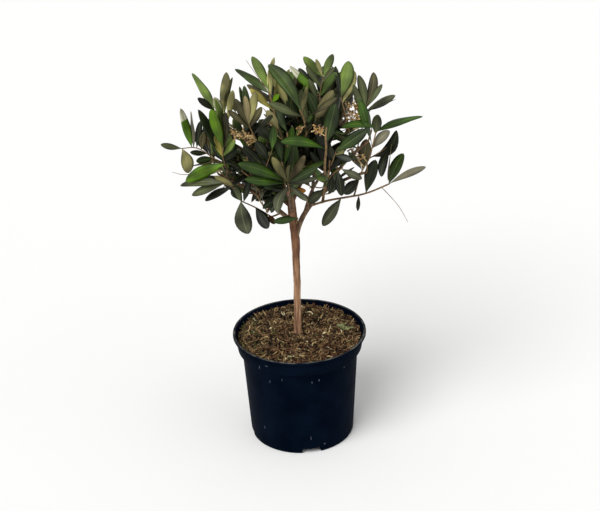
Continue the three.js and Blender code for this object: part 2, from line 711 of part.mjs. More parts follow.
// A leaf at its place on a shoot. Where it would leave its space, touch a limb or cross another
// leaf or a shoot, it opens more or less or grows smaller, and in the end it is skipped.
function growLeaf(place, side, keys, atTip, limb, wood, mass) {
  const scale = (atTip ? TIP_LEAF_SCALE : 1) * between(...LEAF_LENGTHS, ...keys, 9);
  const spread = atTip ? TIP_LEAF_SPREAD : 1;
  for (const { open, shrink } of LEAF_TRIES) {
    const aim = leafAim(place.heading, side, keys, open * spread);
    const leaf = shapeLeaf(place.point, aim, keys, scale * shrink);
    if (leafInSpace(leaf, limb) && leafClearOfWood(leaf, wood)) {
      leaf.blade = bladeOf(leaf);
      const crossed = mass.leaves.some((other) => bladesCross(leaf.blade, other.blade));
      if (!crossed && !mass.shoots.some((shoot) => bladeMeetsShoot(leaf.blade, shoot))) return leaf;
    }
  }
  return null;
}

// Pairs of leaves along a shoot, and a smaller pair at its tip.
function growPairs(number, limb, wood, mass) {
  const shoot = mass.shoots[number];
  const length = rowLength(shoot);
  const pairs = Math.max(FEWEST_PAIRS, Math.round(length / PAIR_STEP));
  const firstTurn = 360 * chance(limb.seed, number, 10);
  for (let pair = 0; pair <= pairs; pair += 1) {
    const share = (pair + FIRST_PAIR_AT) / (pairs + FIRST_PAIR_AT);
    const place = alongRow(shoot, share * (length - TIP_SETBACK));
    const [first, second] = acrossOf(place.heading);
    const turn = THREE.MathUtils.degToRad(PAIR_TURN * pair + firstTurn);
    const side = first.multiplyScalar(Math.cos(turn)).addScaledVector(second, Math.sin(turn));
    for (const flip of [1, -1]) {
      const keys = [limb.seed, number, pair, flip + 1];
      const facing = side.clone().multiplyScalar(flip);
      const leaf = growLeaf(place, facing, keys, pair === pairs, limb, wood, mass);
      if (leaf) mass.leaves.push(leaf);
    }
  }
}

// A blade of eight faces, flat above and keeled below, from an upright edge at its stalk.
const LEAF_FACES = [
  0, 2, 3, 3, 2, 5, 2, 0, 1, 2, 1, 4,
  0, 3, 1, 3, 4, 1, 2, 4, 5, 4, 3, 5,
];

function leafSolid(leaf) {
  const deep = leaf.length * LEAF_THICKNESS;
  const corners = [
    leafMiddle(leaf, 0).addScaledVector(leaf.normal, STALK_THICKNESS * STALK_ABOVE),
    leafMiddle(leaf, 0).addScaledVector(leaf.normal, STALK_THICKNESS * (STALK_ABOVE - 1)),
    leafSpot(leaf, LEAF_WIDEST_AT, 1).addScaledVector(leaf.normal, deep * LEAF_ABOVE),
    leafSpot(leaf, LEAF_WIDEST_AT, -1).addScaledVector(leaf.normal, deep * LEAF_ABOVE),
    leafMiddle(leaf, LEAF_WIDEST_AT).addScaledVector(leaf.normal, deep * (LEAF_ABOVE - 1)),
    leafMiddle(leaf, 1),
  ];
  const geometry = new THREE.BufferGeometry().setFromPoints(corners);
  geometry.setIndex(LEAF_FACES);
  return solidFrom(geometry);
}

// The one piece with the most material, without sealed hollows or scraps.
function mainPiece(solid) {
  return solid.decompose().reduce((best, piece) => (piece.volume() > best.volume() ? piece : best));
}

function makeMass(limb, wood) {
  const mass = { shoots: growShoots(limb, wood), leaves: [] };
  mass.shoots.forEach((_, number) => growPairs(number, limb, wood, mass));
  const twigs = mass.shoots.map(({ points, radii }) => solidFrom(taperedRod(points, radii, SHOOT_SIDES)));
  const whole = [...twigs, ...mass.leaves.map(leafSolid)].reduce((joined, piece) => joined.add(piece));
  return namedMesh(`foliage_${limb.mass.name}`, mainPiece(whole), LEAF_COLOUR, PLANT_ROUGHNESS);
}

// The space of a bough with the gap round it, which its own side boughs keep out of.
function boughCutter({ points, radii }) {
  const wider = radii.map((radius) => radius + GAP);
  return solidFrom(taperedRod(points, wider, BOUGH_SIDES * 2));
}

function makeBough(limb, limbs, trunkCutter) {
  const parent = limbs.find((other) => other.mass.name === limb.mass.on);
  const cutter = parent ? boughCutter(parent.bough) : trunkCutter;
  const rod = solidFrom(taperedRod(limb.bough.points, limb.bough.radii, BOUGH_SIDES));
  const bough = mainPiece(rod.subtract(cutter));
  return namedMesh(`bough_${limb.mass.name}`, bough, BOUGH_COLOUR, PLANT_ROUGHNESS);
}

function makeTree() {
  const tree = new THREE.Group();
  const limbs = growLimbs();
  const wood = woodPoints(limbs);
  const trunkCutter = solidFrom(loft(trunkRings(GAP)));
  tree.add(namedMesh('trunk', solidFrom(loft(trunkRings(0))), BARK_COLOUR, PLANT_ROUGHNESS));
  for (const limb of limbs) {
    tree.add(makeBough(limb, limbs, trunkCutter));
    tree.add(makeMass(limb, wood));
  }
  return tree;
}

const pottedOlive = new THREE.Group();
pottedOlive.add(makePot(), makeSoil(), makeTree());

export default pottedOlive;
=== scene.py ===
"""Looks of the potted olive tree: bark, twigs, leaves, bark mulch and pot, built round its frame.

Lengths are in millimetres until a mesh is made, and every mesh is in metres.
"""
import math
from dataclasses import dataclass

import bmesh
import bpy
import numpy as np
from mathutils import Matrix, Vector


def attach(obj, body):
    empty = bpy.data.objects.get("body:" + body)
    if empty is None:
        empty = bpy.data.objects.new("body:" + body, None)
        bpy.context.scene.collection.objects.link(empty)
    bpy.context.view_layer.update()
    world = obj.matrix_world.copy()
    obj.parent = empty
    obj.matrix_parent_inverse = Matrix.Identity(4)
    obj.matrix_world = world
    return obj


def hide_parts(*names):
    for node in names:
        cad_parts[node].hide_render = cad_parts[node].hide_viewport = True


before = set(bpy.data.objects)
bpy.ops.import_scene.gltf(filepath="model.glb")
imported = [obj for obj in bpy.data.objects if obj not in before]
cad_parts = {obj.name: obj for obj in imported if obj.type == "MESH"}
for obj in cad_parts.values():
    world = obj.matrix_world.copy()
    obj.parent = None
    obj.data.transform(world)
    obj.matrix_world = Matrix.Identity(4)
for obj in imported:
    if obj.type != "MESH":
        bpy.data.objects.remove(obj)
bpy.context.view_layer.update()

# Camera, which looks down at the tree and leans a little to one side
IMAGE_WIDTH = 600
IMAGE_HEIGHT = 511
CAMERA_DISTANCE = 2000
CAMERA_ELEVATION = 26.27
CAMERA_AIM_HEIGHT = 279.4
CAMERA_ROLL = -1.97
CAMERA_FOCAL_PIXELS = 1438.7
CAMERA_SHIFT_PIXELS = 3.2
SENSOR_WIDTH = 36.0

METRES = 0.001
UP = np.array([0.0, 0.0, 1.0])
FULL_TURN = 2 * math.pi

# Random numbers come from a hash of whole numbers, of which the last says what is drawn
HASH_MASK = 0xFFFFFFFF
HASH_START = 2166136261
HASH_FACTORS = (16777619, 2246822519)
HASH_SHIFTS = (15, 13)
SHIFT, LEAN, REACH, SPREAD, LIFT, TWIST, WIDTH, DROOP, LENGTH, FIRST_TURN = range(1, 11)
TIP_FRESHNESS, TIP_TINT, STRAY, STRAY_TINT, OWN_TINT = range(21, 26)
FOLD, WAVE, SWAY = range(31, 34)
SHOWN_TILT_KEY, SHOWN_DROOP_KEY = range(1, 3)
FLOWER_SEED = 17
MULCH_SEED = 11
SOIL_SEED = 21

# Points along lines of different kinds, and the share of a row that lies surely within it
LENGTH_POINTS = 101
BOUGH_POINTS = 24
STEM_POINTS = 16
SHOOT_POINTS = 9
COARSE_EDGES = 4
CORNER_CUT = 0.25
WITHIN_ROW = 0.999

# Pot
POT_HEIGHT = 161
RIM_RADIUS = 95
LIP_HEIGHT = 3.6
LIP_ROUND = 1
ROUND_SHARE = 0.3
COLLAR_TOP_RADIUS = 91.6
COLLAR_FOOT_RADIUS = 88.6
COLLAR_FOOT_HEIGHT = 137.5
BODY_TOP_RADIUS = 82.6
BODY_TOP_HEIGHT = 133.8
BODY_FOOT_RADIUS = 74.7
WALL = 2.2
POT_SIDES = 180
FOOT_CHAMFER = 3
FOOT_RING_WIDTH = 5
FLOOR_LIFT = 9
MIDDLE_FOOT_RADIUS = 16
MIDDLE_FOOT_SLOPE = 5
NOTCH_COUNT = 4
NOTCH_WIDTH = 29
NOTCH_SLANT = 2.5
NOTCH_TOP = 8
NOTCH_BELOW = 2
NOTCH_LENGTH = 20
FIRST_NOTCH_AZIMUTH = -81
DRAIN_COUNT = 6
DRAIN_SIDES = 24
DRAIN_RADIUS = 5.5
DRAIN_CIRCLE_RADIUS = 46
POT_SHARP_ANGLE = 38
AXIS_RADIUS = 0.01
# The points of the profile on the outer wall, and how far off the wall is looked for
OUTER_WALL = slice(7, 16)
WALL_DEPTHS = (1600, 2200, 0.5)

# Scrapes on the wall: pixel x and y, then height and breadth in millimetres
SCUFFS = (
    (259.5, 366.5, 8, 1.6), (266.5, 366, 1.4, 5), (270, 381.5, 4.6, 1.6), (282, 380, 5, 1),
    (312, 382.5, 4, 1.4), (319, 380, 5, 1), (344, 367, 3, 1.4), (265, 427, 6, 1), (311, 437.5, 9, 0.8),
    (324.8, 443.5, 3, 3.4),
)
SCUFF_COLOUR = (76, 84, 98)
SCUFF_RAISE = 0.12
SCUFF_DEPTH = 0.3
SCUFF_RINGS = 5
SCUFF_SWAY = 0.2
SCUFF_WAVES = 9

# Soil and its cover of bark shavings
SOIL_EDGE_HEIGHT = 153.2
SOIL_MIDDLE_HEIGHT = 156
SOIL_RADIUS = 88.2
SOIL_DEPTH = 12
SOIL_RINGS = 44
SOIL_SIDES = 160
SOIL_INNERMOST = 0.5
SOIL_PATCHES = (18, 60)
SOIL_PATCH_SHARE = 0.99
SOIL_BUMPS = 1.1
SOIL_BUMP_SINK = 1.2
SOIL_FOOT_SCALE = 0.985

# Colours as they show on a screen, 0 to 255, and stops of colour along a grain
FULL_CHANNEL = 255
POT_COLOUR = (5, 11, 24)
POT_STOPS = ((0.35, (2, 9, 21)), (0.7, (7, 16, 31)))
POT_IOR = 1.2
# The flat top of the lip is paler: partly soil dust and partly a painted highlight where the lip's edge
# catches the light
LIP_DUST_AND_HIGHLIGHT_COLOUR = (38, 38, 38)
LIP_DUST_AND_HIGHLIGHT_STOPS = ((0.4, (16, 20, 30)), (0.55, (64, 64, 60)), (0.7, (106, 104, 96)))
SOIL_COLOUR = (44, 32, 22)
SOIL_STOPS = ((0.35, (28, 20, 14)), (0.65, (70, 52, 34)))
TRUNK_LOW_BARK = (
    (0.3, (82, 54, 40)), (0.46, (136, 101, 76)), (0.6, (172, 134, 102)), (0.76, (202, 171, 138)),
)
TRUNK_HIGH_BARK = (
    (0.3, (58, 36, 26)), (0.46, (104, 70, 48)), (0.6, (142, 102, 74)), (0.76, (170, 138, 106)),
)
# Heights in metres between which the trunk's bark goes from the low colours to the high ones
BARK_CHANGE = (0.2, 0.31)
BOUGH_BARK = ((0.3, (60, 46, 36)), (0.5, (104, 82, 62)), (0.68, (138, 112, 86)), (0.85, (160, 138, 110)))
TWIG_BARK = ((0.3, (92, 76, 52)), (0.55, (134, 108, 74)), (0.8, (160, 138, 98)))
DRIED_STOPS = {
    "dried_tan": ((0.35, (170, 138, 84)), (0.65, (234, 208, 154))),
    "dried_brown": ((0.35, (96, 72, 52)), (0.65, (158, 130, 102))),
    "dried_rust": ((0.35, (150, 112, 60)), (0.65, (204, 162, 102))),
}
# Roughness and shine, then the grain's scale and detail, and the bump's scale, detail, strength and distance
POT_FINISH = (0.5, 0.02), (28, 4), (420, 3, 0.2, 0.0003)
LIP_DUST_AND_HIGHLIGHT_FINISH = (0.6, 0.2), (90, 5), (900, 3, 0.3, 0.0003)
SCUFF_FINISH = (0.6, 0.2), (260, 3), None
SOIL_FINISH = (0.95, 0.1), (240, 6), (700, 6, 0.8, 0.001)
CHIP_FINISH = (0.85, 0.2), (420, 3), (1600, 3, 0.5, 0.0004)
BARK_FINISH = (0.82, 0.25), (260, 6), (620, 5, 0.6, 0.0008)
# The leaves' grain and bump: the grain's lighter and darker patches are partly the leaves' own mottle and
# partly painted sheen in place of gloss
LEAF_MOTTLE_AND_SHEEN_TEXTURE = (30, 1.5), (500, 3, 0.15, 0.0004)
FALLEN_SHINE = (0.6, 0.2)
FLOOR_SHINE = (0.95, 0)
# How far a mottled colour is darkened and lightened, and how far its stops stand from the middle
SCUFF_SHADES = (0.6, 1.2, 0.15)
CHIP_SHADES = (0.7, 1.2, 0.2)
# Leaves are mottled partly in their own tones and partly with painted sheen, the lighter patches standing in
# for gloss highlights
LEAF_MOTTLE_AND_SHEEN_SHADES = (0.64, 1.34, 0.16)
# How far the bark's grain is drawn out along each axis
TRUNK_STRETCH = (1, 1, 0.1)
BOUGH_STRETCH = (1, 1, 0.5)
NO_STRETCH = (1, 1, 1)
# Sockets of the colour mix, which share their names with those of its other kinds
MIX_FIRST_COLOUR = 6
MIX_SECOND_COLOUR = 7
MIX_COLOUR_RESULT = 2

# Trunk: where its middle lies and how thick it is, as height, x, y and radius
TRUNK_FOOT = 156.3
TRUNK_STATIONS = np.array([
    (156.3, -2.2, 0, 6.9),
    (163, -2.1, 0, 5.7),
    (190, -1.6, 0.6, 4.9),
    (228, -1, 1.4, 4.8),
    (300, -0.9, 1.6, 5.6),
    (346, -4.1, 0.6, 6),
    (375, -5.6, -0.4, 4.8),
    (402, -6.4, -1.4, 3.4),
])

# Bark relief: seed, patches along and round the trunk, and depth
TRUNK_RELIEF = ((5, (12, 7), 0.5), (6, (46, 22), 0.28), (7, (160, 40), 0.12))
TRUNK_SIDES = 72
TRUNK_RING_STEP = 1.4
TRUNK_SINK = 4
TRUNK_SMOOTHING = (1, 2, 3, 4, 3, 2, 1)
BOUGH_RELIEF = 0.16
BOUGH_NOISE_KEY = 100
BOUGH_PATCHES = 7
BOUGH_SIDES = 14
BOUGH_RING_STEP = 2
BOUGH_FEWEST_RINGS = 12
BOUGH_FLARE = 0.35
BOUGH_FLARE_LENGTH = 9
TWIG_SIDES = 7

# Boughs and the stems that they run on in
GAP = 0.3
STEM_GAP = GAP + 0.02
BOUGH_TIP_RADIUS = 1.9
BOUGH_SHORTEST = 0.3
BOUGH_LONGEST = 0.95
BOUGH_SHARE_STEP = 0.02
STEM_MARGIN = 2.6
STEM_TIP_RADIUS = 1.4
WOOD_STEP = 2.5

# Foliage masses
CROWN_CENTRE = np.array([-3.0, 0.0, 440.0])
CROWN_SEED = 1
MASS_MIDDLE = 0.62
LEAF_OVERHANG = 44
CELL_MARGIN = 0.5
REACH_MARGIN = 1.02
LIMB_CLEARANCE = 1.2

# Side shoots
SIDE_SHOOTS = 3
SHOOT_TRIES = 7
SHOOT_RADIUS = 1.5
SHOOT_TIP_RADIUS = 1.3
SHOOT_MARGIN = 2
SHOOT_CLEARANCE = 2.5
FIRST_SHOOT_AT = 0.08
SHOOTS_SPAN = 0.62
SHOOT_SHIFT = (0, 0.08)
TURN_EACH_SHOOT = 137.5
TURN_EACH_TRY = 52
SHOOT_LEAN = (38, 58)
SHOOT_LENGTH = 56
SHOOT_LENGTHS = (0.7, 1.1)
SHOOT_SHORTENING = 0.35
SHOOT_BEND_AT = 0.5
SHOOT_OUT = 0.9
SHOOT_RISE = 0.22
SHOOT_FREE_FROM = 4

# Finer growth than the frame's: more side shoots on each stem, and short shoots on the boughs
FINE_SHOOTS = 6
FINE_SHOOT_SCALE = 0.8
FINE_LEAF_SCALE = 0.84
BOUGH_SHOOTS = 4
FIRST_BOUGH_SHOOT_AT = 0.45
BOUGH_SHOOTS_SPAN = 0.4
BOUGH_SHOOT_SCALE = 0.62
BOUGH_LEAF_SCALE = 0.74
FINE_KEY = 40
BOUGH_KEY = 80

# Leaves in opposite pairs
PAIR_STEP = 14
PAIR_TURN = 90
FEWEST_PAIRS = 2
FIRST_PAIR_AT = 0.45
TIP_SETBACK = 5
TIP_LEAF_SCALE = 0.88
TIP_LEAF_SPREAD = 0.5
LEAF_LENGTH = 63
LEAF_LENGTHS = (0.86, 1.14)
LEAF_SLIMNESS = 0.28
LEAF_WIDTHS = (0.85, 1.2)
LEAF_WIDEST_AT = 0.56
LEAF_SPREAD = (34, 62)
LEAF_LIFT = (-0.12, 0.3)
LEAF_TWIST = (-0.5, 0.5)
LEAF_DROOP = (0, 0.14)
LEAF_FACING_UP = 0.5
STALK_HALF_WIDTH = 0.3
BLADE_START = 0.22
NEAR_BLADES = 0.7
LEAF_TRIES = ((1, 1), (0.6, 1), (1.3, 0.9), (1, 0.78), (0.55, 0.72))

# Spots on a leaf, as shares along it and sides across: where it needs room, hides others or may meet wood
SPACE_SHARES = np.repeat([LEAF_WIDEST_AT, 1.0], 3)
SPACE_SIDES = np.tile([-1.0, 0.0, 1.0], 2)
HIDING_SHARES = np.repeat([0.15, 0.35, 0.56, 0.78, 1.0], 3)
HIDING_SIDES = np.tile([-0.8, 0.0, 0.8], 5)
CLEAR_SHARES = np.repeat(np.arange(0.1, 1, 0.075), 5)
CLEAR_SIDES = np.tile([-1, -0.5, 0, 0.5, 1], len(CLEAR_SHARES) // 5)

# The crown's rounded front, on which the sprays that face the camera lie
FRONT_CENTRE = np.array([-3.0, 0.0, 456.0])
FRONT_RADII = np.array([166.0, 118.0, 110.0])
TWIG_SWELLS = (0.56, 0.8)
TIP_SWELL = 1.0
MISS_EASE = 0.35
LEAF_LEAN = 0.4
SHOWN_SLIMNESS = 0.24
SHOWN_DROOP = (0.0, 0.08)
SHOWN_TILT = (-14, 24)
TWIG_FOOT_RADIUS = 1.2
TWIG_END_RADIUS = 0.65
HIDING_MARGIN = 0.5
HIDING_DEPTH = 4
HIDING_SPOTS = 3
WINDOW_WIDTH_SHARE = 0.16
SHOWN_KEY = 500
FOOT_FROM = 0.15
FOOT_TO = 0.9
FOOT_PLACES = 50
FOOT_STRAIGHTNESS = 0.8
FOOT_EASE = 0.3
LEAST_LEAD = 2.0
TRUNK_FOOT_FROM = 292
TWIG_KEY = 200
TWIG_LEAF_SCALE = 0.86

# The close-grown inside of the crown as the camera sees it, in pixels
FILL_OUTLINE = np.array([
    (190, 150), (194, 130), (205, 112), (222, 98), (240, 88), (262, 80), (285, 70), (312, 64), (336, 64),
    (354, 74), (368, 88), (374, 104), (372, 125), (366, 145), (362, 165), (352, 182), (335, 192),
    (316, 196), (300, 198), (283, 200), (268, 206), (250, 204), (232, 198), (212, 193), (194, 188),
    (188, 170),
], float)

# Gaps in the crown through which sky shows, as x, y and radius in pixels
SKY_WINDOWS = np.array([
    (354, 108, 6), (348, 118, 3), (227, 121, 1.8), (242.5, 129, 1.2), (257.5, 123.5, 2.2),
    (238.5, 143, 1.8), (239, 147, 1.8), (268, 141.5, 1.2), (284, 116, 1.8), (290, 127, 1.8), (262, 98, 2),
    (265, 104, 2.2), (256.5, 94, 1.5), (254.5, 109.5, 1.2), (244, 106.5, 1.2), (302.5, 82, 1.8),
    (312, 91, 1.2), (317.5, 98, 1.8), (318, 103, 1.8), (334, 139, 2.6), (334.5, 145, 2.6), (319, 169, 2),
    (315, 178, 2.4), (318, 188, 2.4), (299, 186, 2), (348, 166, 2.6), (342, 171, 1.5), (209, 163, 1),
    (196, 156, 2), (237, 90, 4), (232, 96, 2), (348, 150, 2.4), (218, 171, 1.5), (224, 176, 1.2),
    (221, 134, 1.2), (227, 139, 1.2), (299, 109, 1),
], float)


@dataclass
class Mass:
    """A foliage mass toward an azimuth and elevation, whose tips stand at its reach.

    Its limb grows on the trunk at a height, or on another mass's limb at a share of that.
    """

    name: str
    azimuth: float
    elevation: float
    reach: float
    on: str
    at: float
    bend: float
    girth: float


MASSES = [
    Mass("leader", 165, 66, 139, "trunk", 394, 0.3, 3),
    Mass("low_right", -6, -12, 178, "trunk", 306, 0.16, 4),
    Mass("low_left", -135, -56, 140, "left", 0.3, 0.9, 2.2),
    Mass("left", -170, -9, 160, "trunk", 328, 0.4, 3.4),
    Mass("far_left", -178, 15, 172, "trunk", 354, 0.5, 3),
    Mass("front_left", -140, 30, 148, "trunk", 368, 0.5, 2.8),
    Mass("upper_left", 163, 37, 162, "far_left", 0.25, 0.5, 2.4),
    Mass("top_back", 78, 58, 124, "leader", 0.22, 0.6, 2.2),
    Mass("top_right", 14, 60, 142, "trunk", 386, 0.6, 2.8),
    Mass("upper_right", 14, 30, 157, "trunk", 374, 0.5, 3),
    Mass("right", -14, 14, 170, "low_right", 0.46, 0.4, 2.6),
    Mass("front", -92, 30, 134, "trunk", 378, 0.5, 2.6),
    Mass("front_low", -97, -14, 126, "trunk", 344, 0.4, 3),
    Mass("front_right", -50, 0, 134, "low_right", 0.24, 0.3, 2.4),
    Mass("front_top", -66, 64, 122, "trunk", 390, 0.55, 2.4),
    Mass("lower_left", -133, -6, 134, "left", 0.42, 0.3, 2.2),
    Mass("inner_right", -40, 35, 138, "low_right", 0.34, 0.2, 2.2),
    Mass("low_middle", -62, -48, 126, "low_right", 0.14, 0.8, 2),
    Mass("back_left", 126, 16, 154, "trunk", 362, 0.5, 3),
    Mass("back", 86, 20, 150, "trunk", 342, 0.4, 3.2),
    Mass("back_right", 46, 15, 158, "trunk", 360, 0.45, 3),
    Mass("low_back_left", 142, -27, 130, "back_left", 0.3, 0.6, 2.2),
    Mass("low_back", 62, -27, 132, "back", 0.3, 0.6, 2.4),
]
MASS_BY_NAME = {mass.name: mass for mass in MASSES}
BOUGH_NODES = [f"bough_{mass.name}" for mass in MASSES]
FOLIAGE_NODES = [f"foliage_{mass.name}" for mass in MASSES]


@dataclass
class Spray:
    """A spray at the front of the crown, in the pixels of the photograph.

    The twig runs outward through its pixels. A leaf has its share along the twig, the pixel x and y
    of its tip, the width that shows in pixels, its look and, where it is bent, the share of its
    length by which it bows out to the left of its way.
    """

    twig: tuple
    leaves: tuple
    girth: float = 1.0


SPRAYS = {
    "left_tip": Spray(((226, 166), (215, 159), (209, 155), (202, 150), (194, 147), (182, 148.5)), (
        (1, 160.5, 145, 6.5, "dull", 0.01), (0.8, 179.5, 109, 9.5, "tipped", -0.01),
        (1, 189, 173, 13, "olive", 0.05), (0.76, 191, 111, 3.5, "grey"), (0.7, 200, 121, 6.5, "dark"),
        (0.6, 204, 132, 8, "brown"), (0.46, 190, 152.5, 6, "dark"), (0.3, 196, 161, 8, "deep"),
        (0.2, 191.5, 166, 5, "brown"),
    )),
    "left_bright": Spray(((233, 178), (226, 167), (222.5, 157), (223, 147)), (
        (1, 211, 109, 11.5, "bright"), (0.62, 202.5, 119.5, 9.5, "green"), (0.7, 197.5, 110, 8.5, "deep"),
        (0.72, 214, 136, 7.5, "yellow"), (0.75, 235.5, 139.5, 7, "fresh"),
        (0.5, 185.5, 181.5, 13.5, "bright", -0.04), (0.3, 200, 174, 6, "olive"), (0.6, 237, 150, 7, "dark"),
        (0.9, 216, 99, 9, "fresh", -0.04), (0.85, 226, 112, 8, "brown"),
    )),
    "low_left": Spray(((252, 190), (238, 190), (224, 183)), (
        (1, 180, 186, 8.5, "dull", -0.05), (0.95, 191.5, 194.5, 8.5, "dull", -0.02),
        (0.6, 205, 201, 8.5, "dark", -0.05), (0.3, 214, 176, 6, "olive"),
    )),
    "hanging_left": Spray(((270, 216), (257, 208), (241, 201)), (
        (1, 248.5, 234, 17.5, "slate", -0.06), (0.95, 232, 186, 10, "dark"), (1, 234, 186, 11, "dull", 0.06),
        (0.9, 250, 180, 7, "dark"), (0.45, 269, 228, 12.5, "dark"), (0.05, 275, 224, 6, "withered"),
    ), 1.3),
    "top_left": Spray(((240, 135), (226, 120), (214.5, 110.5)), (
        (1, 192.5, 73, 10, "fresh", -0.015), (1, 198, 97.5, 7, "dark"),
        (0.75, 227, 72, 10.5, "silver", -0.02), (0.65, 232.5, 77, 4, "silver", 0.05),
        (0.7, 214.5, 97, 9, "pale"), (0.5, 233, 90, 8, "silver"),
    )),
    "left_crest": Spray(((260, 146), (254, 136), (249, 125)), (
        (1, 245, 95.5, 7.5, "tan"), (1, 244.5, 85.5, 8, "deep"), (1, 255.5, 91, 9, "olive"),
        (0.8, 228, 110, 7, "brown"), (0.9, 239, 86.5, 7, "deep"), (0.9, 262, 107, 8, "brown"),
        (0.9, 235, 98, 9, "brown"),
    )),
    "upper_left": Spray(((277, 130), (274, 110), (269, 92)), (
        (0.95, 235.5, 68.5, 10.5, "mid", -0.02), (1, 253, 56, 9, "fresh", -0.02),
        (0.85, 274, 57, 7.5, "silver", 0.04), (0.7, 247, 84, 7, "brown"), (0.72, 279, 94, 5.5, "bright"),
        (0.5, 250, 89, 7, "yellow"),
    ), 1.5),
    "top_big": Spray(((306, 131), (304, 118), (300, 110)), (
        (1, 269, 64, 16, "mid", -0.06), (0.6, 269, 102, 8, "dull"), (0.75, 307, 86, 6, "olive"),
        (0.5, 337, 98, 7.5, "brown"),
    ), 1.6),
    "top_middle": Spray(((318, 114), (320, 92), (323, 77)), (
        (1, 303, 57, 9.5, "fresh"), (1, 316, 59, 5, "silver"), (1, 333, 54, 8.5, "fresh"),
        (0.45, 336, 72, 8.5, "mid"), (0.7, 305.5, 67, 6, "dull"), (0.55, 289.5, 66.5, 7, "tipped", 0.03),
        (0.3, 309, 79, 6, "dull"), (0.8, 334.5, 67, 7, "dull"),
    ), 0.7),
    "top_right": Spray(((352, 142), (346, 118), (341, 97)), (
        (1, 349, 61, 14.5, "fresh", -0.03), (0.88, 355, 71, 12, "silver"), (1, 336, 66, 6, "dark"),
    )),
    "right_arm": Spray(((313, 205), (327, 200.5), (345, 197.5), (366, 194), (389, 184)), (
        (1, 425.5, 166, 6.5, "grey", 0.02), (1, 403, 153, 12.5, "deep", 0.03),
        (0.69, 376.5, 160, 12.5, "deep", 0.03), (0.6, 358, 211, 4, "dark"),
        (0.38, 322, 225.5, 11.5, "slate"), (0.02, 290, 187, 5.5, "slate"),
    ), 1.7),
    "right_crest": Spray(((357, 150), (363, 124), (366, 106)), (
        (0.95, 358, 75, 9, "dull", -0.04), (1, 373, 72, 10, "brown", -0.07), (0.95, 382, 84, 5.5, "dull"),
        (0.9, 395.5, 95.5, 8.5, "slate"), (0.88, 395.5, 99.5, 2.5, "slate"), (0.8, 354, 84, 7, "dull"),
    )),
    "right_high": Spray(((355.5, 191), (358, 182), (361, 172), (370, 158), (372.5, 146), (377, 128)), (
        (0.96, 422.5, 116, 9, "green", 0.035), (0.93, 378, 114.5, 10.5, "dull"),
        (1, 342, 128, 8.5, "green", -0.1), (0.2, 343.5, 193.5, 11, "dark"), (0.78, 359, 99, 9, "green"),
        (0.75, 390, 131, 10, "grey", 0.05), (0.38, 367, 139, 13, "brown"), (0.36, 348, 152, 5.5, "slate"),
    ), 1.2),
    "right_hanging": Spray(((370, 158), (382, 151), (391.5, 143)), (
        (1, 381.5, 177, 8.5, "dark", -0.07), (0.1, 397.5, 131, 12, "dark", -0.19), (1, 388, 181, 4, "brown"),
    )),
    "right_inner": Spray(((324, 186), (334, 172), (343, 168)), (
        (0.95, 362, 179, 8, "slate"), (0.85, 342, 196, 10, "dark"), (0.6, 330, 193, 7, "dark"),
    )),
    "right_middle": Spray(((330, 168), (336, 152)), (
        (1, 367, 129, 13, "deep"), (0.8, 352, 160, 8, "dark"), (0.5, 330, 146, 6, "dull"),
    )),
    "centre_right": Spray((
        (323.5, 196), (325.2, 181), (324.5, 165), (326.5, 148), (325.3, 137), (326.7, 127),
    ), (
        (0.85, 335, 104, 15, "deep"), (0.8, 281, 142, 10, "green", -0.08), (0.5, 310, 152, 8, "dark"),
        (0.5, 340, 158, 7, "dark"), (0.15, 308, 202.5, 10, "slate"),
    ), 1.9),
    "front_hub": Spray(((291, 204), (290, 194), (288, 183)), (
        (1, 238, 164, 13, "green", -0.04), (1, 245, 180, 10, "green"), (1, 318, 168, 9, "deep"),
        (0.95, 317, 178, 7, "slate"), (1, 289, 165, 7, "olive"), (0.8, 277, 213, 11, "slate", -0.13),
        (0.7, 262, 208, 9, "dark"), (1, 272, 157, 9, "olive"), (1, 295, 142, 8, "deep"),
        (0.9, 304, 155, 9, "tan"), (0.9, 307.5, 201, 6.5, "slate"), (0.75, 271, 213, 9, "dark", -0.1),
        (0.6, 306, 191, 6.5, "dead"),
    )),
    "left_centre": Spray(((262, 176), (268, 162), (272, 150)), (
        (1, 274, 126, 9, "green"), (0.7, 256, 141, 11, "dark"), (0.35, 243, 146, 10, "dark"),
    ), 0.7),
    "low_leaf": Spray(((296, 224), (298, 218)), (
        (1, 273.5, 222, 8, "green"),
    )),
}
# Dried flower heads of a spray: the share along its twig at which each grows, and the pixel of its end
DRIED_HEADS = {
    "right_crest": (
        (0.9, 345, 117), (0.75, 351, 122), (1, 346, 106), (0.95, 354, 101), (0.6, 356, 119), (0.8, 349, 112),
        (0.85, 357, 106), (0.5, 346, 123),
    ),
    "right_high": (
        (0.42, 349, 147), (0.5, 356, 149), (0.38, 352, 153),
    ),
    "centre_right": (
        (0.92, 314, 130), (0.95, 319, 128),
    ),
    "left_crest": (
        (0.5, 231, 132), (0.4, 234, 137), (0.2, 249, 139), (0.3, 243, 134),
    ),
    "upper_left": (
        (0.4, 268, 124),
    ),
    "top_big": (
        (0.2, 299, 131),
    ),
}
# Long dry stalks: the twig that carries each, the share along it, and the pixels that it passes
DRY_STALKS = (
    ("right_arm", 0.9, ((390, 196), (399, 206), (408, 222))),
    ("left_bright", 0.4, ((186, 176), (172, 172))),
    ("upper_left", 0.95, ((257, 76), (246, 60))),
)
# Looks of leaves whose under face shows, and the tint of each. The other looks are the tints themselves.
UNDER_LOOKS = {"olive": "mid", "silver": "fresh", "tan": "brown", "grey": "grey", "slate": "dark"}

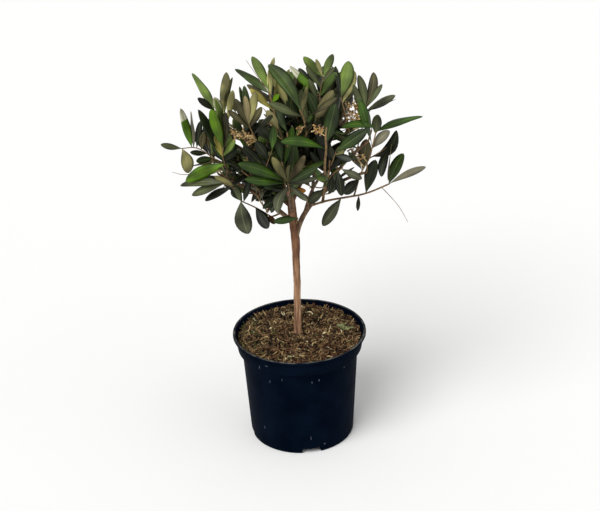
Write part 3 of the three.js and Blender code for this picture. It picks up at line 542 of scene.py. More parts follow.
# Leaf colours: the upper and the under face of each tint
TINTS = {
    "dark": ((20, 25, 11), (70, 73, 56)),
    "deep": ((34, 48, 16), (90, 90, 62)),
    "green": ((42, 66, 12), (104, 106, 64)),
    "mid": ((58, 76, 30), (118, 114, 72)),
    "dull": ((60, 65, 40), (112, 106, 72)),
    "brown": ((60, 56, 34), (108, 98, 70)),
    "grey": ((62, 66, 48), (94, 91, 76)),
    "fresh": ((88, 106, 46), (154, 150, 98)),
    "bright": ((76, 110, 4), (140, 146, 66)),
    "yellow": ((152, 142, 66), (170, 160, 84)),
    "pale": ((232, 226, 164), (204, 196, 146)),
    "tipped": ((72, 104, 22), (144, 144, 90)),
    "dead": ((148, 92, 16), (140, 90, 36)),
    "withered": ((76, 46, 10), (76, 50, 20)),
}
TIP_COLOUR = (214, 208, 168)
TIP_FROM = 0.62
# Tints dealt out to sprays and to fresh tips, each up to a share of all
SPRAY_TINTS = (
    ("dark", 0.3), ("deep", 0.5), ("mid", 0.64), ("dull", 0.78), ("brown", 0.88), ("green", 0.94),
    ("fresh", 1),
)
TIP_TINTS = (("mid", 0.3), ("fresh", 0.72), ("bright", 0.86), ("pale", 1.0))
FRESH_TIPS = 0.5
STRAY_SHARE = 0.25
FRESH_FROM = 0.6

# Leaf mesh: shares along the blade and sides across it
LEAF_SHARES = np.array([0, 0.05, 0.11, 0.2, 0.32, 0.45, 0.58, 0.7, 0.81, 0.9, 0.96, 1])
LEAF_SIDES = np.array([-1, -0.55, -0.07, 0.07, 0.55, 1])
RIB_COLUMN = 2
BLADE_WIDEST_AT = 0.58
BASE_SLIMNESS = 1.15
TIP_ROUNDNESS = 2.0
TIP_FULLNESS = 0.62
LEAF_FOLD = 0.22
LEAF_ROLL = 0.2
BLADE_THICKNESS = 0.7
TIP_THICKNESS = 0.55
FOOT_THICKNESS = 0.9
THINNING = 12
STALK_SHARE = 0.2
STALK_HALF_BREADTH = 0.55
TIP_HALF_BREADTH = 0.05
LEAF_FOLDS = (0.4, 1.4)
LEAF_WAVE = (-0.03, 0.03)
LEAF_SWAY = (-0.07, 0.07)
SHOWN_SWAY = (-0.03, 0.03)
RIB_TINT = (134, 140, 86)
UNDER_RIB_TINT = (150, 150, 112)
RIB_SHARE = 0.32
# Kinds of a leaf's faces, in the order of its materials, and the roughness and shine of each
UPPER, UNDER, RIB, UPPER_TIP, UNDER_RIB = range(5)
LEAF_SHINES = {
    "upper": (0.42, 0.26),
    "under": (0.75, 0.12),
    "rib": (0.5, 0.25),
    "tip": (0.5, 0.3),
    "under_rib": (0.7, 0.2),
}

# Dried flower heads: side stalks on a bent stalk, each with small withered buds
HEAD_BEND = (-3, 4)
HEAD_BARE = 0.25
HEAD_STALKS = 11
HEAD_STALK_LENGTHS = (3.5, 8.5)
HEAD_STALK_RISE = (-1, 2)
HEAD_SPREAD = (35, 75)
HEAD_TURN = 137
HEAD_RADII = (0.8, 0.45)
HEAD_POINTS = 8
HEAD_SIDES = 5
SIDE_STALK_RADII = (0.45, 0.45 * 0.7)
SIDE_STALK_POINTS = 5
HEAD_DEPTHS = (-4, 6)
BUD_RINGS = ((0.35, -0.9), (1.0, -0.2), (0.8, 0.6), (0.2, 1.0))
BUD_RADII = (0.9, 1.4)
BUD_SIDES = 6
BUD_STEP = 0.28
BUD_SCATTER = 0.6
BUDS_ON_STALK = 3
STALK_RADII = (0.68, 0.3)
STALK_SIDES = 4
DRY_STALK_MATERIAL = 1

# Bark shavings, curled or in rings
CHIP_TINTS = {
    "dark": (34, 24, 16),
    "brown": (80, 58, 38),
    "tan": (124, 98, 66),
    "straw": (170, 146, 102),
    "pale": (220, 202, 160),
    "mossy": (78, 76, 40),
    "russet": (92, 58, 38),
}
CHIP_SHARES = (("dark", 0.26), ("brown", 0.56), ("tan", 0.86), ("straw", 0.985), ("pale", 1.0))
CHIP_COUNT = 3000
CHIP_LENGTHS = (6, 15)
CHIP_WIDTHS = (1, 2.5)
CHIP_THICKNESSES = (0.4, 0.8)
CHIP_RING_SHARE = 0.36
CHIP_RING_TURNS = (3.4, 5.4)
CHIP_CURL_TURNS = (0.2, 2.8)
CHIP_TWISTS = (-0.8, 0.8)
CHIP_RINGS = 7
CHIP_TAPER = 0.45
CHIP_CORNERS = ((1, 1), (-1, 1), (-1, -1), (1, -1))
CHIP_TILTS = (("X", 0.35), ("Y", 0.3))
CHIPS_ON_EDGE = 0.35
CHIP_EDGE_TURNS = (0.4, 1)
CHIP_SINK = 0.8
CHIP_LAYER = 1.6
CHIP_MARGIN = 1.5
CHIP_INSET = 0.2
TRUNK_CLEARING = 8
MOSSY_LEFT = 0.4
MOSSY_ANYWHERE = 0.03
RUSSET_FRONT = 0.2
RUSSET_ANYWHERE = 0.05

# A lobed leaf that has fallen on the mulch, from the pixel of its stalk to that of its tip
FALLEN_FROM = (336.5, 325)
FALLEN_TO = (353.5, 328.5)
FALLEN_RINGS = 37
FALLEN_WIDTH = 17
FALLEN_ENDS = (0.02, 0.97)
FALLEN_LOBES = 4.5
FALLEN_NOTCHES = 0.55
FALLEN_FULLNESS = 0.6
FALLEN_LIFT = 6
FALLEN_WAVE = (1.4, 8)
FALLEN_EDGE_WAVE = (1.1, 21)
FALLEN_THICKNESS = 0.6
FALLEN_COLOUR = (124, 126, 84)

# Stage
FLOOR_COLOUR = (246, 246, 245)
FLOOR_REACH = 8000
WORLD_STRENGTH = 0.5
KEY_DIRECTION = (-0.55, -0.75, 1.1)
KEY_STRENGTH = 2.2
KEY_SPREAD = 40
FILL_DIRECTION = (0.9, -0.5, 0.5)
FILL_STRENGTH = 0.4
FILL_SPREAD = 60


def chance(*keys):
    """A number from 0 to 1 that depends only on the whole numbers given."""
    state = HASH_START
    for key in keys:
        state = ((state ^ (key + 1)) * HASH_FACTORS[0]) & HASH_MASK
        state ^= state >> HASH_SHIFTS[0]
        state = (state * HASH_FACTORS[1]) & HASH_MASK
        state ^= state >> HASH_SHIFTS[1]
    return state / (HASH_MASK + 1)


def between(span, *keys):
    low, high = span
    return low + (high - low) * chance(*keys)


def unit(vector):
    return vector / np.linalg.norm(vector)


def across_of(direction):
    """Two directions across a line."""
    first = np.cross(direction, UP)
    if first @ first < 1e-3:
        first = np.array([1.0, 0.0, 0.0])
    first = unit(first)
    return first, unit(np.cross(direction, first))


def turned(first, second, degrees):
    angle = math.radians(degrees)
    return first * math.cos(angle) + second * math.sin(angle)


def camera_axes():
    """The camera's forward, rightward and upward directions."""
    elevation, roll = math.radians(CAMERA_ELEVATION), math.radians(CAMERA_ROLL)
    forward = np.array([0, math.cos(elevation), -math.sin(elevation)])
    level = np.array([1.0, 0.0, 0.0])
    rise = np.cross(level, forward)
    side = level * math.cos(roll) + rise * math.sin(roll)
    return forward, side, np.cross(side, forward)


FORWARD, SIDE, TOP = camera_axes()
CAMERA_PLACE = np.array([0.0, 0.0, CAMERA_AIM_HEIGHT]) - FORWARD * CAMERA_DISTANCE
MIDDLE_PIXEL = np.array([IMAGE_WIDTH / 2 - CAMERA_SHIFT_PIXELS, IMAGE_HEIGHT / 2])


def pixels_of(points):
    """The pixels at which places show, and how far off they are."""
    off = np.atleast_2d(points) - CAMERA_PLACE
    depth = off @ FORWARD
    across = CAMERA_FOCAL_PIXELS * np.stack([off @ SIDE, -(off @ TOP)], axis=1) / depth[:, None]
    return MIDDLE_PIXEL + across, depth


def place_at(pixel, depth):
    """The place that shows at a pixel, at a distance from the camera."""
    x, y = (np.asarray(pixel) - MIDDLE_PIXEL) / CAMERA_FOCAL_PIXELS
    return CAMERA_PLACE + depth * (FORWARD + SIDE * x - TOP * y)


def crown_depth(pixel, swell):
    """How far off the crown's rounded front is at a pixel, or nearly its middle where it is missed."""
    radii = FRONT_RADII * swell
    sight = (place_at(pixel, 1.0) - CAMERA_PLACE) / radii
    start = (CAMERA_PLACE - FRONT_CENTRE) / radii
    a, b, c = sight @ sight, start @ sight, start @ start - 1
    if b * b > a * c:
        return (-b - math.sqrt(b * b - a * c)) / a
    missed_by = math.sqrt(c + 1 - b * b / a) - 1
    middle_depth = -start[1] / sight[1]
    return -b / a + (middle_depth + b / a) * min(missed_by / MISS_EASE, 1)


def inside_outline(pixels, outline):
    """Whether every pixel lies within a closed outline."""
    ahead = np.roll(outline, -1, axis=0)
    x, y = pixels[:, 0:1], pixels[:, 1:2]
    spans = (outline[:, 1] > y) != (ahead[:, 1] > y)
    rise = np.where(ahead[:, 1] == outline[:, 1], 1, ahead[:, 1] - outline[:, 1])
    meets = outline[:, 0] + (ahead[:, 0] - outline[:, 0]) * (y - outline[:, 1]) / rise
    return bool(np.all((spans & (x < meets)).sum(axis=1) % 2 == 1))


def gaps_to_line(pixels, start, end):
    """How far pixels lie from a straight line between two others."""
    along = end - start
    share = np.clip(((pixels - start) * along).sum(-1) / (along * along).sum(-1), 0, 1)
    return np.linalg.norm(pixels - start - along * share[..., None], axis=-1)


@dataclass
class Row:
    """Points along a limb or shoot, with the radius at each."""

    points: np.ndarray
    radii: np.ndarray = None

    def distances(self):
        steps = np.linalg.norm(np.diff(self.points, axis=0), axis=1)
        return np.concatenate([[0.0], np.cumsum(steps)])

    def length(self):
        return self.distances()[-1]

    def spot(self, share):
        """The place at a share of the row, which at the very end stays just within it."""
        return self.at(share * self.length() * WITHIN_ROW)[0]

    def cut(self, distance):
        """The row up to a distance along it."""
        marks = self.distances()
        count = max(2, int(np.searchsorted(marks, distance)))
        return Row(self.points[:count], self.radii[:count])

    def at(self, distance):
        """The place and heading at a distance along the row."""
        marks = self.distances()
        i = int(np.clip(np.searchsorted(marks, distance) - 1, 0, len(marks) - 2))
        step = self.points[i + 1] - self.points[i]
        heading = unit(step)
        return self.points[i] + heading * (distance - marks[i]), heading


@dataclass
class Curve:
    """A curve of one bend."""

    start: np.ndarray
    bend: np.ndarray
    end: np.ndarray

    def point(self, share):
        share = np.asarray(share, float)[..., None]
        rest = 1 - share
        return rest * rest * self.start + 2 * rest * share * self.bend + share * share * self.end

    def row(self, share_from, share_to, count, radius_from, radius_to):
        shares = np.linspace(share_from, share_to, count)
        return Row(self.point(shares), np.linspace(radius_from, radius_to, count))

    def length(self):
        return Row(self.point(np.linspace(0, 1, LENGTH_POINTS))).length()


def trunk_at(height):
    """Middle points and radii of the trunk at heights."""
    columns = [np.interp(height, TRUNK_STATIONS[:, 0], TRUNK_STATIONS[:, k]) for k in (1, 2, 3)]
    points = np.stack([columns[0], columns[1], np.asarray(height, float)], axis=-1)
    return points, columns[2]


def toward_tip(mass, distance):
    azimuth, elevation = math.radians(mass.azimuth), math.radians(mass.elevation)
    outward = unit(np.array([math.cos(azimuth), math.sin(azimuth), math.tan(elevation)]))
    return CROWN_CENTRE + outward * distance


def limb_curve(mass):
    parent = MASS_BY_NAME.get(mass.on)
    base = limb_curve(parent).point(mass.at) if parent else trunk_at(mass.at)[0]
    tip = toward_tip(mass, mass.reach - LEAF_OVERHANG)
    ahead = tip - base
    bend = base + ahead * np.array([mass.bend, mass.bend, 1 - mass.bend])
    return Curve(base, bend, tip)


def cell_planes(mass):
    """The planes half way to every other mass: their normals and limits."""
    middle = toward_tip(mass, mass.reach * MASS_MIDDLE)
    normals, limits = [], []
    for other in MASSES:
        if other is not mass:
            away = toward_tip(other, other.reach * MASS_MIDDLE)
            normal = unit(away - middle)
            normals.append(normal)
            limits.append(normal @ (middle + away) / 2)
    return np.array(normals), np.array(limits)


def inside_cell(points, planes, margin):
    normals, limits = planes
    return bool(np.all(np.atleast_2d(points) @ normals.T < limits - margin))


def bough_share(curve, planes):
    """The share of the limb at which it has entered its mass's space for good."""
    share = BOUGH_LONGEST
    while share > BOUGH_SHORTEST:
        if not inside_cell(curve.point(share - BOUGH_SHARE_STEP), planes, STEM_MARGIN):
            break
        share -= BOUGH_SHARE_STEP
    return share


@dataclass
class Limb:
    mass: Mass
    seed: int
    planes: tuple
    curve: Curve
    start: float
    bough: Row
    stem: Row


def grow_limbs():
    limbs = []
    for order, mass in enumerate(MASSES):
        curve = limb_curve(mass)
        planes = cell_planes(mass)
        share = bough_share(curve, planes)
        start = share + STEM_GAP / curve.length()
        bough = curve.row(0, share, BOUGH_POINTS, mass.girth, BOUGH_TIP_RADIUS)
        stem = curve.row(start, 1, STEM_POINTS, BOUGH_TIP_RADIUS, STEM_TIP_RADIUS)
        limbs.append(Limb(mass, CROWN_SEED + order, planes, curve, start, bough, stem))
    return limbs


class Wood:
    """Spots all along the trunk and boughs, which leaves and twigs keep clear of."""

    def __init__(self, limbs):
        heights = np.arange(TRUNK_FOOT, TRUNK_STATIONS[-1, 0], WOOD_STEP)
        trunk_points, trunk_radii = trunk_at(heights)
        places, radii = [trunk_points], [trunk_radii]
        for limb in limbs:
            marks = limb.bough.distances()
            spots = np.arange(0, marks[-1], WOOD_STEP)
            columns = [np.interp(spots, marks, limb.bough.points[:, k]) for k in range(3)]
            places.append(np.stack(columns, axis=1))
            radii.append(np.interp(spots, marks, limb.bough.radii))
        self.places = np.concatenate(places)
        self.radii = np.concatenate(radii)

    def clear(self, points, clearance):
        gaps = np.linalg.norm(np.atleast_2d(points)[:, None] - self.places, axis=2)
        return bool(np.all(gaps > self.radii + clearance))


@dataclass
class Shoot:
    """A leafy twig: where it runs, its random keys, and how large its leaves are."""

    row: Row
    key: int
    leaf_scale: float
    fine: bool
    base: float = 0.0


def side_shoot(parent, share, seed, key, attempt, scale):
    """A side shoot that leaves its parent at an angle and bends upward."""
    point, heading = parent.at(share * parent.length())
    first, second = across_of(heading)
    side = turned(first, second, TURN_EACH_SHOOT * (key + seed) + TURN_EACH_TRY * attempt)
    out = turned(heading, side, between(SHOOT_LEAN, seed, key, LEAN))
    full = SHOOT_LENGTH * scale * between(SHOOT_LENGTHS, seed, key, REACH)
    length = full * (1 - SHOOT_SHORTENING * share)
    bend = point + out * length * SHOOT_BEND_AT
    tip = point + out * length * SHOOT_OUT + UP * length * SHOOT_RISE
    curve = Curve(point, bend, tip)
    return curve.row(0, 1, SHOOT_POINTS, SHOOT_RADIUS * scale, SHOOT_TIP_RADIUS * scale)


def fitting_shoot(limb, wood, parent, share, key, scale, planes):
    for attempt in range(SHOOT_TRIES):
        row = side_shoot(parent, share, limb.seed, key, attempt, scale)
        within = planes is None or inside_cell(row.points, planes, SHOOT_MARGIN)
        near = np.linalg.norm(row.points - CROWN_CENTRE, axis=1).max() < limb.mass.reach - LEAF_OVERHANG / 2
        if within and near and wood.clear(row.points[SHOOT_FREE_FROM:], SHOOT_CLEARANCE):
            return row
    return None


def shoot_plans(limb):
    """Side shoots, finer ones between them and short ones on the bough: parent, share, key and sizes."""
    for number in range(SIDE_SHOOTS):
        yield limb.stem, FIRST_SHOOT_AT + SHOOTS_SPAN * number / SIDE_SHOOTS, number, 1, 1
    for number in range(FINE_SHOOTS):
        share = FIRST_SHOOT_AT + SHOOTS_SPAN * (number + 0.5) / FINE_SHOOTS
        yield limb.stem, share, FINE_KEY + number, FINE_SHOOT_SCALE, FINE_LEAF_SCALE
    for number in range(BOUGH_SHOOTS):
        share = FIRST_BOUGH_SHOOT_AT + BOUGH_SHOOTS_SPAN * number / BOUGH_SHOOTS
        yield limb.bough, share, BOUGH_KEY + number, BOUGH_SHOOT_SCALE, BOUGH_LEAF_SCALE


def grow_shoots(limb, wood):
    """The stem and every shoot that finds room on it or on the bough."""
    shoots = [Shoot(limb.stem, 0, 1, False)]
    for parent, share, key, scale, leaf_scale in shoot_plans(limb):
        fine = key >= FINE_KEY
        share = share + between(SHOOT_SHIFT, limb.seed, key, SHIFT)
        row = fitting_shoot(limb, wood, parent, share, key, scale, None if fine else limb.planes)
        if row:
            base = share * limb.start if parent is limb.bough else limb.start + (1 - limb.start) * share
            shoots.append(Shoot(row, key if fine else key + 1, leaf_scale, fine, base))
    return shoots


@dataclass(eq=False)
class Leaf:
    root: np.ndarray
    along: np.ndarray
    normal: np.ndarray
    wide: np.ndarray
    length: float
    width: float
    droop: float
    keys: tuple
    tint: str = ""
    seen_width: float = 0.0
    bow: tuple = (0, 0, 0)

    def middle(self, share):
        share = np.asarray(share, float)[..., None]
        straight = self.root + self.along * self.length * share
        bowed = straight + np.asarray(self.bow) * 4 * share * (1 - share)
        return bowed - self.normal * self.length * self.droop * share * share

    def spot(self, share, side):
        share = np.asarray(share, float)
        taper = np.where(share < LEAF_WIDEST_AT, share / LEAF_WIDEST_AT, (1 - share) / (1 - LEAF_WIDEST_AT))
        return self.middle(share) + self.wide * (side * taper * self.width / 2)[..., None]


def leaf_aim(heading, side, keys, open_by):
    spread = between(LEAF_SPREAD, *keys, SPREAD) * open_by
    along = unit(turned(heading, side, spread) + UP * between(LEAF_LIFT, *keys, LIFT))
    across = unit(np.cross(along, heading))
    normal = heading + UP * LEAF_FACING_UP + across * between(LEAF_TWIST, *keys, TWIST)
    normal = unit(normal - along * (normal @ along))
    return along, normal, unit(np.cross(along, normal))


def shape_leaf(root, aim, keys, scale):
    length = LEAF_LENGTH * scale
    width = length * LEAF_SLIMNESS * between(LEAF_WIDTHS, *keys, WIDTH)
    return Leaf(root, *aim, length, width, between(LEAF_DROOP, *keys, DROOP), keys)


def leaf_fits(leaf, limb, wood, planes):
    spots = leaf.spot(SPACE_SHARES, SPACE_SIDES)
    if planes is not None and not inside_cell(spots, planes, CELL_MARGIN):
        return False
    if np.linalg.norm(spots - CROWN_CENTRE, axis=1).max() > limb.mass.reach * REACH_MARGIN:
        return False
    return wood.clear(leaf.spot(CLEAR_SHARES, CLEAR_SIDES), LIMB_CLEARANCE)


class Blade:
    """A leaf's blade as flat triangles and outline edges, from a little way above its root."""

    def __init__(self, leaf):
        foot = leaf.middle(0) + (leaf.middle(LEAF_WIDEST_AT) - leaf.middle(0)) * BLADE_START
        foot_left = foot + leaf.wide * STALK_HALF_WIDTH
        foot_right = foot - leaf.wide * STALK_HALF_WIDTH
        left = leaf.spot(LEAF_WIDEST_AT, np.float64(1))
        right = leaf.spot(LEAF_WIDEST_AT, np.float64(-1))
        tip = leaf.middle(1)
        self.triangles = np.array([
            [foot_left, foot_right, left],
            [foot_right, right, left],
            [right, tip, left],
        ])
        self.edges = np.array([[foot_left, left], [foot_right, right], [left, tip], [right, tip]])
        self.middle = leaf.middle(LEAF_WIDEST_AT)
        self.reach = np.linalg.norm(tip - leaf.root)

    def near(self, other):
        return np.linalg.norm(other.middle - self.middle) <= NEAR_BLADES * (other.reach + self.reach)


def edges_meet(edges, triangles):
    """Whether any edge passes through any triangle."""
    start = edges[:, None, 0]
    along = edges[:, None, 1] - start
    corner = triangles[None, :, 0]
    first = triangles[None, :, 1] - corner
    second = triangles[None, :, 2] - corner
    cross = np.cross(along, second)
    size = (first * cross).sum(-1)
    size = np.where(size == 0, np.inf, size)
    start_from = start - corner
    turned_from = np.cross(start_from, first)
    u = (start_from * cross).sum(-1) / size
    v = (along * turned_from).sum(-1) / size
    share = (second * turned_from).sum(-1) / size
    meet = (u >= 0) & (v >= 0) & (u + v <= 1) & (share >= 0) & (share <= 1)
    return bool(np.any(meet & np.isfinite(size)))


def crosses(blade, blades, shoot_edges):
    near = [other for other in blades if blade.near(other)]
    if near and edges_meet(blade.edges, np.concatenate([other.triangles for other in near])):
        return True
    edges = np.concatenate([shoot_edges] + [other.edges for other in near])
    return edges_meet(edges, blade.triangles)


def coarse_edges(row):
    """A row's line as a few straight edges."""
    points = row.points[:: max(1, (len(row.points) - 1) // COARSE_EDGES)]
    return list(zip(points[:-1], points[1:]))


def softened(points, times=2):
    """A line of points with its corners rounded off."""
    for _ in range(times):
        start, end = points[:-1], points[1:]
        near, far = 1 - CORNER_CUT, CORNER_CUT
        cut = np.stack([start * near + end * far, start * far + end * near], axis=1).reshape(-1, 3)
        points = np.concatenate([points[:1], cut, points[-1:]])
    return points


class ShownSprays:
    """The sprays that the camera sees one by one, with the twigs that carry them."""

    def __init__(self, limbs):
        self.limbs = limbs
        self.shares = np.linspace(FOOT_FROM, FOOT_TO, FOOT_PLACES)
        trunk_heights = np.arange(TRUNK_FOOT_FROM, TRUNK_STATIONS[-1, 0], WOOD_STEP)
        lines = [limb.curve.point(self.shares) for limb in limbs] + [trunk_at(trunk_heights)[0]]
        self.wood = np.concatenate(lines)
        self.headings = np.concatenate([np.gradient(line, axis=0) for line in lines])
        self.headings /= np.linalg.norm(self.headings, axis=1)[:, None]
        self.feet = []
        self.twigs = []
        self.outer_rows = []
        self.leaves = []
        for number, spray in enumerate(SPRAYS.values()):
            self.grow(number, spray)
        roots, tips = [leaf.root for leaf in self.leaves], [leaf.middle(1) for leaf in self.leaves]
        self.root_pixels, root_depths = pixels_of(np.array(roots))
        self.tip_pixels, tip_depths = pixels_of(np.array(tips))
        self.depths = np.maximum(root_depths, tip_depths)
        self.half_widths = np.array([leaf.seen_width / 2 for leaf in self.leaves])

    def foot_of(self, outer, heading):
        """The spot on earlier wood from which a twig through the outer points starts."""
        ahead = outer[0] - self.wood
        far = np.linalg.norm(ahead, axis=1)
        straight = ((ahead * self.headings).sum(axis=1) + ahead @ heading) / far
        return int(np.argmin(far * (1 + FOOT_STRAIGHTNESS * (2 - straight))))

    def grow(self, number, spray):
        swells = np.linspace(*TWIG_SWELLS, len(spray.twig))
        outer = np.array([place_at(p, crown_depth(p, swell)) for p, swell in zip(spray.twig, swells)])
        heading = unit(outer[1] - outer[0])
        foot = self.foot_of(outer, heading)
        if foot < len(self.limbs) * FOOT_PLACES:
            self.feet.append((self.limbs[foot // FOOT_PLACES].mass.name, self.shares[foot % FOOT_PLACES]))
        start, start_heading = self.wood[foot], self.headings[foot]
        ahead = outer[0] - start
        ease = FOOT_EASE * np.maximum([start_heading @ ahead, heading @ ahead], LEAST_LEAD)
        lead = [start, start + start_heading * ease[0], outer[0] - heading * ease[1]]
        whole = softened(np.concatenate([lead, outer]))
        radii = np.linspace(TWIG_FOOT_RADIUS, TWIG_END_RADIUS, len(whole)) * spray.girth
        self.twigs.append(Row(whole, radii))
        free = whole[len(lead):]
        steps = np.diff(free, axis=0)
        self.wood = np.concatenate([self.wood, free[:-1]])
        self.headings = np.concatenate([self.headings, steps / np.linalg.norm(steps, axis=1)[:, None]])
        twig = Row(softened(outer))
        self.outer_rows.append(twig)
        for place, (share, x, y, *leaf) in enumerate(spray.leaves):
            self.leaves.append(shown_leaf((SHOWN_KEY, number, place), twig.spot(share), (x, y), *leaf))

    def hidden_by(self, leaf):
        """Whether a leaf would stand before one of these."""
        pixels, depths = pixels_of(leaf.spot(HIDING_SHARES, HIDING_SIDES))
        gap = gaps_to_line(pixels[:, None], self.root_pixels, self.tip_pixels)
        before = depths[:, None] < self.depths + HIDING_DEPTH
        hides = (gap < self.half_widths + HIDING_MARGIN) & before
        return int(np.any(hides, axis=1).sum()) > HIDING_SPOTS


def shown_leaf(keys, root, tip_pixel, width, look, bow=0.0):
    """A leaf from its root to the pixel of its tip, turned so that it looks as wide as it shows."""
    root_pixel, root_depth = (value[0] for value in pixels_of(root))
    scale = root_depth / CAMERA_FOCAL_PIXELS
    reach = np.linalg.norm(tip_pixel - root_pixel) * scale
    lean = crown_depth(tip_pixel, TIP_SWELL) - root_depth
    tip = place_at(tip_pixel, root_depth + np.clip(lean, -LEAF_LEAN * reach, LEAF_LEAN * reach))
    length = np.linalg.norm(tip - root)
    full_width = max(width * scale, SHOWN_SLIMNESS * length)
    tilt = math.acos(width * scale / full_width) + math.radians(between(SHOWN_TILT, *keys, SHOWN_TILT_KEY))
    face = -1 if look in UNDER_LOOKS else 1
    along = (tip - root) / length
    toward = CAMERA_PLACE - root
    toward = unit(toward - along * (toward @ along))
    side = np.cross(along, toward)
    bow = -side * bow * length
    side = side * (1 if side[2] > 0 else -1)
    normal = toward * math.cos(tilt) * face + side * math.sin(tilt)
    droop = between(SHOWN_DROOP, *keys, SHOWN_DROOP_KEY)
    along = unit(along + normal * droop)
    normal = unit(normal - along * (normal @ along))
    across = unit(np.cross(along, normal))
    tint = UNDER_LOOKS.get(look, look)
    return Leaf(root, along, normal, across, length, full_width, droop, keys, tint, width, bow)


class Crown:
    """Every shoot and leaf of the tree."""

    def __init__(self):
        self.limbs = grow_limbs()
        self.wood = Wood(self.limbs)
        self.shown = ShownSprays(self.limbs)
        self.twigs = []
        self.leaves = []
        self.limb_ends = {limb.mass.name: 0.0 for limb in self.limbs}
        for limb in self.limbs:
            self.grow_mass(limb)
        self.clothe_twigs()
        self.leaves.extend(self.shown.leaves)
        for name, share in self.shown.feet:
            self.need_limb(name, share)

    def need_limb(self, name, share):
        """Keeps a limb up to a share of its length, and what it grows on."""
        self.limb_ends[name] = max(self.limb_ends[name], share)
        mass = MASS_BY_NAME[name]
        if mass.on in MASS_BY_NAME:
            self.need_limb(mass.on, mass.at)

    def clothe_twigs(self):
        """Leaf pairs along the twigs of the shown sprays, behind what shows."""
        self.blades = []
        self.shoot_edges = np.array([edge for row in self.shown.twigs for edge in coarse_edges(row)])
        for number, row in enumerate(self.shown.twigs):
            limb = min(self.limbs, key=lambda limb: np.linalg.norm(limb.curve.end - row.points[-1]))
            shoot = Shoot(row, TWIG_KEY + number, TWIG_LEAF_SCALE, True)
            self.twigs.append(row)
            self.grow_pairs(shoot, limb)

    def grow_mass(self, limb):
        shoots = grow_shoots(limb, self.wood)
        self.shoot_edges = np.array([edge for shoot in shoots for edge in coarse_edges(shoot.row)])
        self.blades = []
        for shoot in shoots:
            last = self.grow_pairs(shoot, limb)
            if shoot.key and last:
                self.twigs.append(shoot.row.cut(last * shoot.row.length() + 1))
            if last:
                on_stem = limb.start + (1 - limb.start) * last
                self.need_limb(limb.mass.name, shoot.base if shoot.key else on_stem)

    def grow_pairs(self, shoot, limb):
        """Grows the leaf pairs of a shoot, and gives the share of it up to the last kept leaf."""
        last = 0
        length = shoot.row.length()
        pairs = max(FEWEST_PAIRS, round(length / PAIR_STEP))
        first_turn = 360 * chance(limb.seed, shoot.key, FIRST_TURN)
        for pair in range(pairs + 1):
            share = (pair + FIRST_PAIR_AT) / (pairs + FIRST_PAIR_AT)
            point, heading = shoot.row.at(share * (length - TIP_SETBACK))
            first, second = across_of(heading)
            side = turned(first, second, PAIR_TURN * pair + first_turn)
            for flip in (1, -1):
                keys = (limb.seed, shoot.key, pair, flip + 1)
                leaf = self.grow_leaf(point, heading, side * flip, keys, pair == pairs, shoot, limb)
                if leaf and self.kept(leaf):
                    leaf.tint = leaf_tint(limb, shoot, pair / pairs, keys)
                    self.leaves.append(leaf)
                    last = share * (1 - TIP_SETBACK / length)
        return last

    def kept(self, leaf):
        """Whether a leaf leaves the sky open round the crown and the shown sprays free before it."""
        pixels, _ = pixels_of(leaf.spot(HIDING_SHARES, HIDING_SIDES))
        ends, depths = pixels_of(np.array([leaf.root, leaf.middle(1)]))
        half_width = leaf.width * WINDOW_WIDTH_SHARE * CAMERA_FOCAL_PIXELS / depths[0]
        if np.any(gaps_to_line(SKY_WINDOWS[:, :2], *ends) < SKY_WINDOWS[:, 2] + half_width):
            return False
        return inside_outline(pixels, FILL_OUTLINE) and not self.shown.hidden_by(leaf)

    def grow_leaf(self, point, heading, side, keys, at_tip, shoot, limb):
        scale = (TIP_LEAF_SCALE if at_tip else 1) * between(LEAF_LENGTHS, *keys, LENGTH) * shoot.leaf_scale
        spread = TIP_LEAF_SPREAD if at_tip else 1
        planes = None if shoot.fine else limb.planes
        for open_by, shrink in LEAF_TRIES:
            aim = leaf_aim(heading, side, keys, open_by * spread)
            leaf = shape_leaf(point, aim, keys, scale * shrink)
            if leaf_fits(leaf, limb, self.wood, planes):
                blade = Blade(leaf)
                if not crosses(blade, self.blades, self.shoot_edges):
                    self.blades.append(blade)
                    return leaf
        return None


def dealt(table, value):
    return next(name for name, limit in table if value <= limit)


def leaf_tint(limb, shoot, share, keys):
    """A spray's own tint, with fresher leaves toward some tips and a stray one here and there."""
    fresh = share > FRESH_FROM and chance(limb.seed, shoot.key, TIP_FRESHNESS) < FRESH_TIPS
    if fresh and not shoot.fine:
        return dealt(TIP_TINTS, chance(*keys, TIP_TINT))
    if chance(*keys, STRAY) < STRAY_SHARE:
        return dealt(SPRAY_TINTS, chance(*keys, STRAY_TINT))
    return dealt(SPRAY_TINTS, chance(limb.seed, shoot.key, OWN_TINT))


def linear(colour):
    """A colour given as it shows on a screen, 0 to 255, as light."""
    channels = [c / FULL_CHANNEL for c in colour]
    return [c / 12.92 if c <= 0.04045 else ((c + 0.055) / 1.055) ** 2.4 for c in channels]


def turns_of(sides):
    return np.arange(sides) * FULL_TURN / sides


def tube_rings(row, sides, relief=0.0):
    """Rings of points round a row, with a relief added to its radii."""
    tangents = np.gradient(row.points, axis=0)
    tangents /= np.linalg.norm(tangents, axis=1)[:, None]
    first, _ = across_of(tangents[0])
    turns = turns_of(sides)
    rings = []
    for point, tangent, reach in zip(row.points, tangents, row.radii[:, None] + np.zeros(sides) + relief):
        first = unit(first - tangent * (first @ tangent))
        second = np.cross(tangent, first)
        circle = np.cos(turns)[:, None] * first + np.sin(turns)[:, None] * second
        rings.append(point + circle * reach[:, None])
    return np.array(rings)


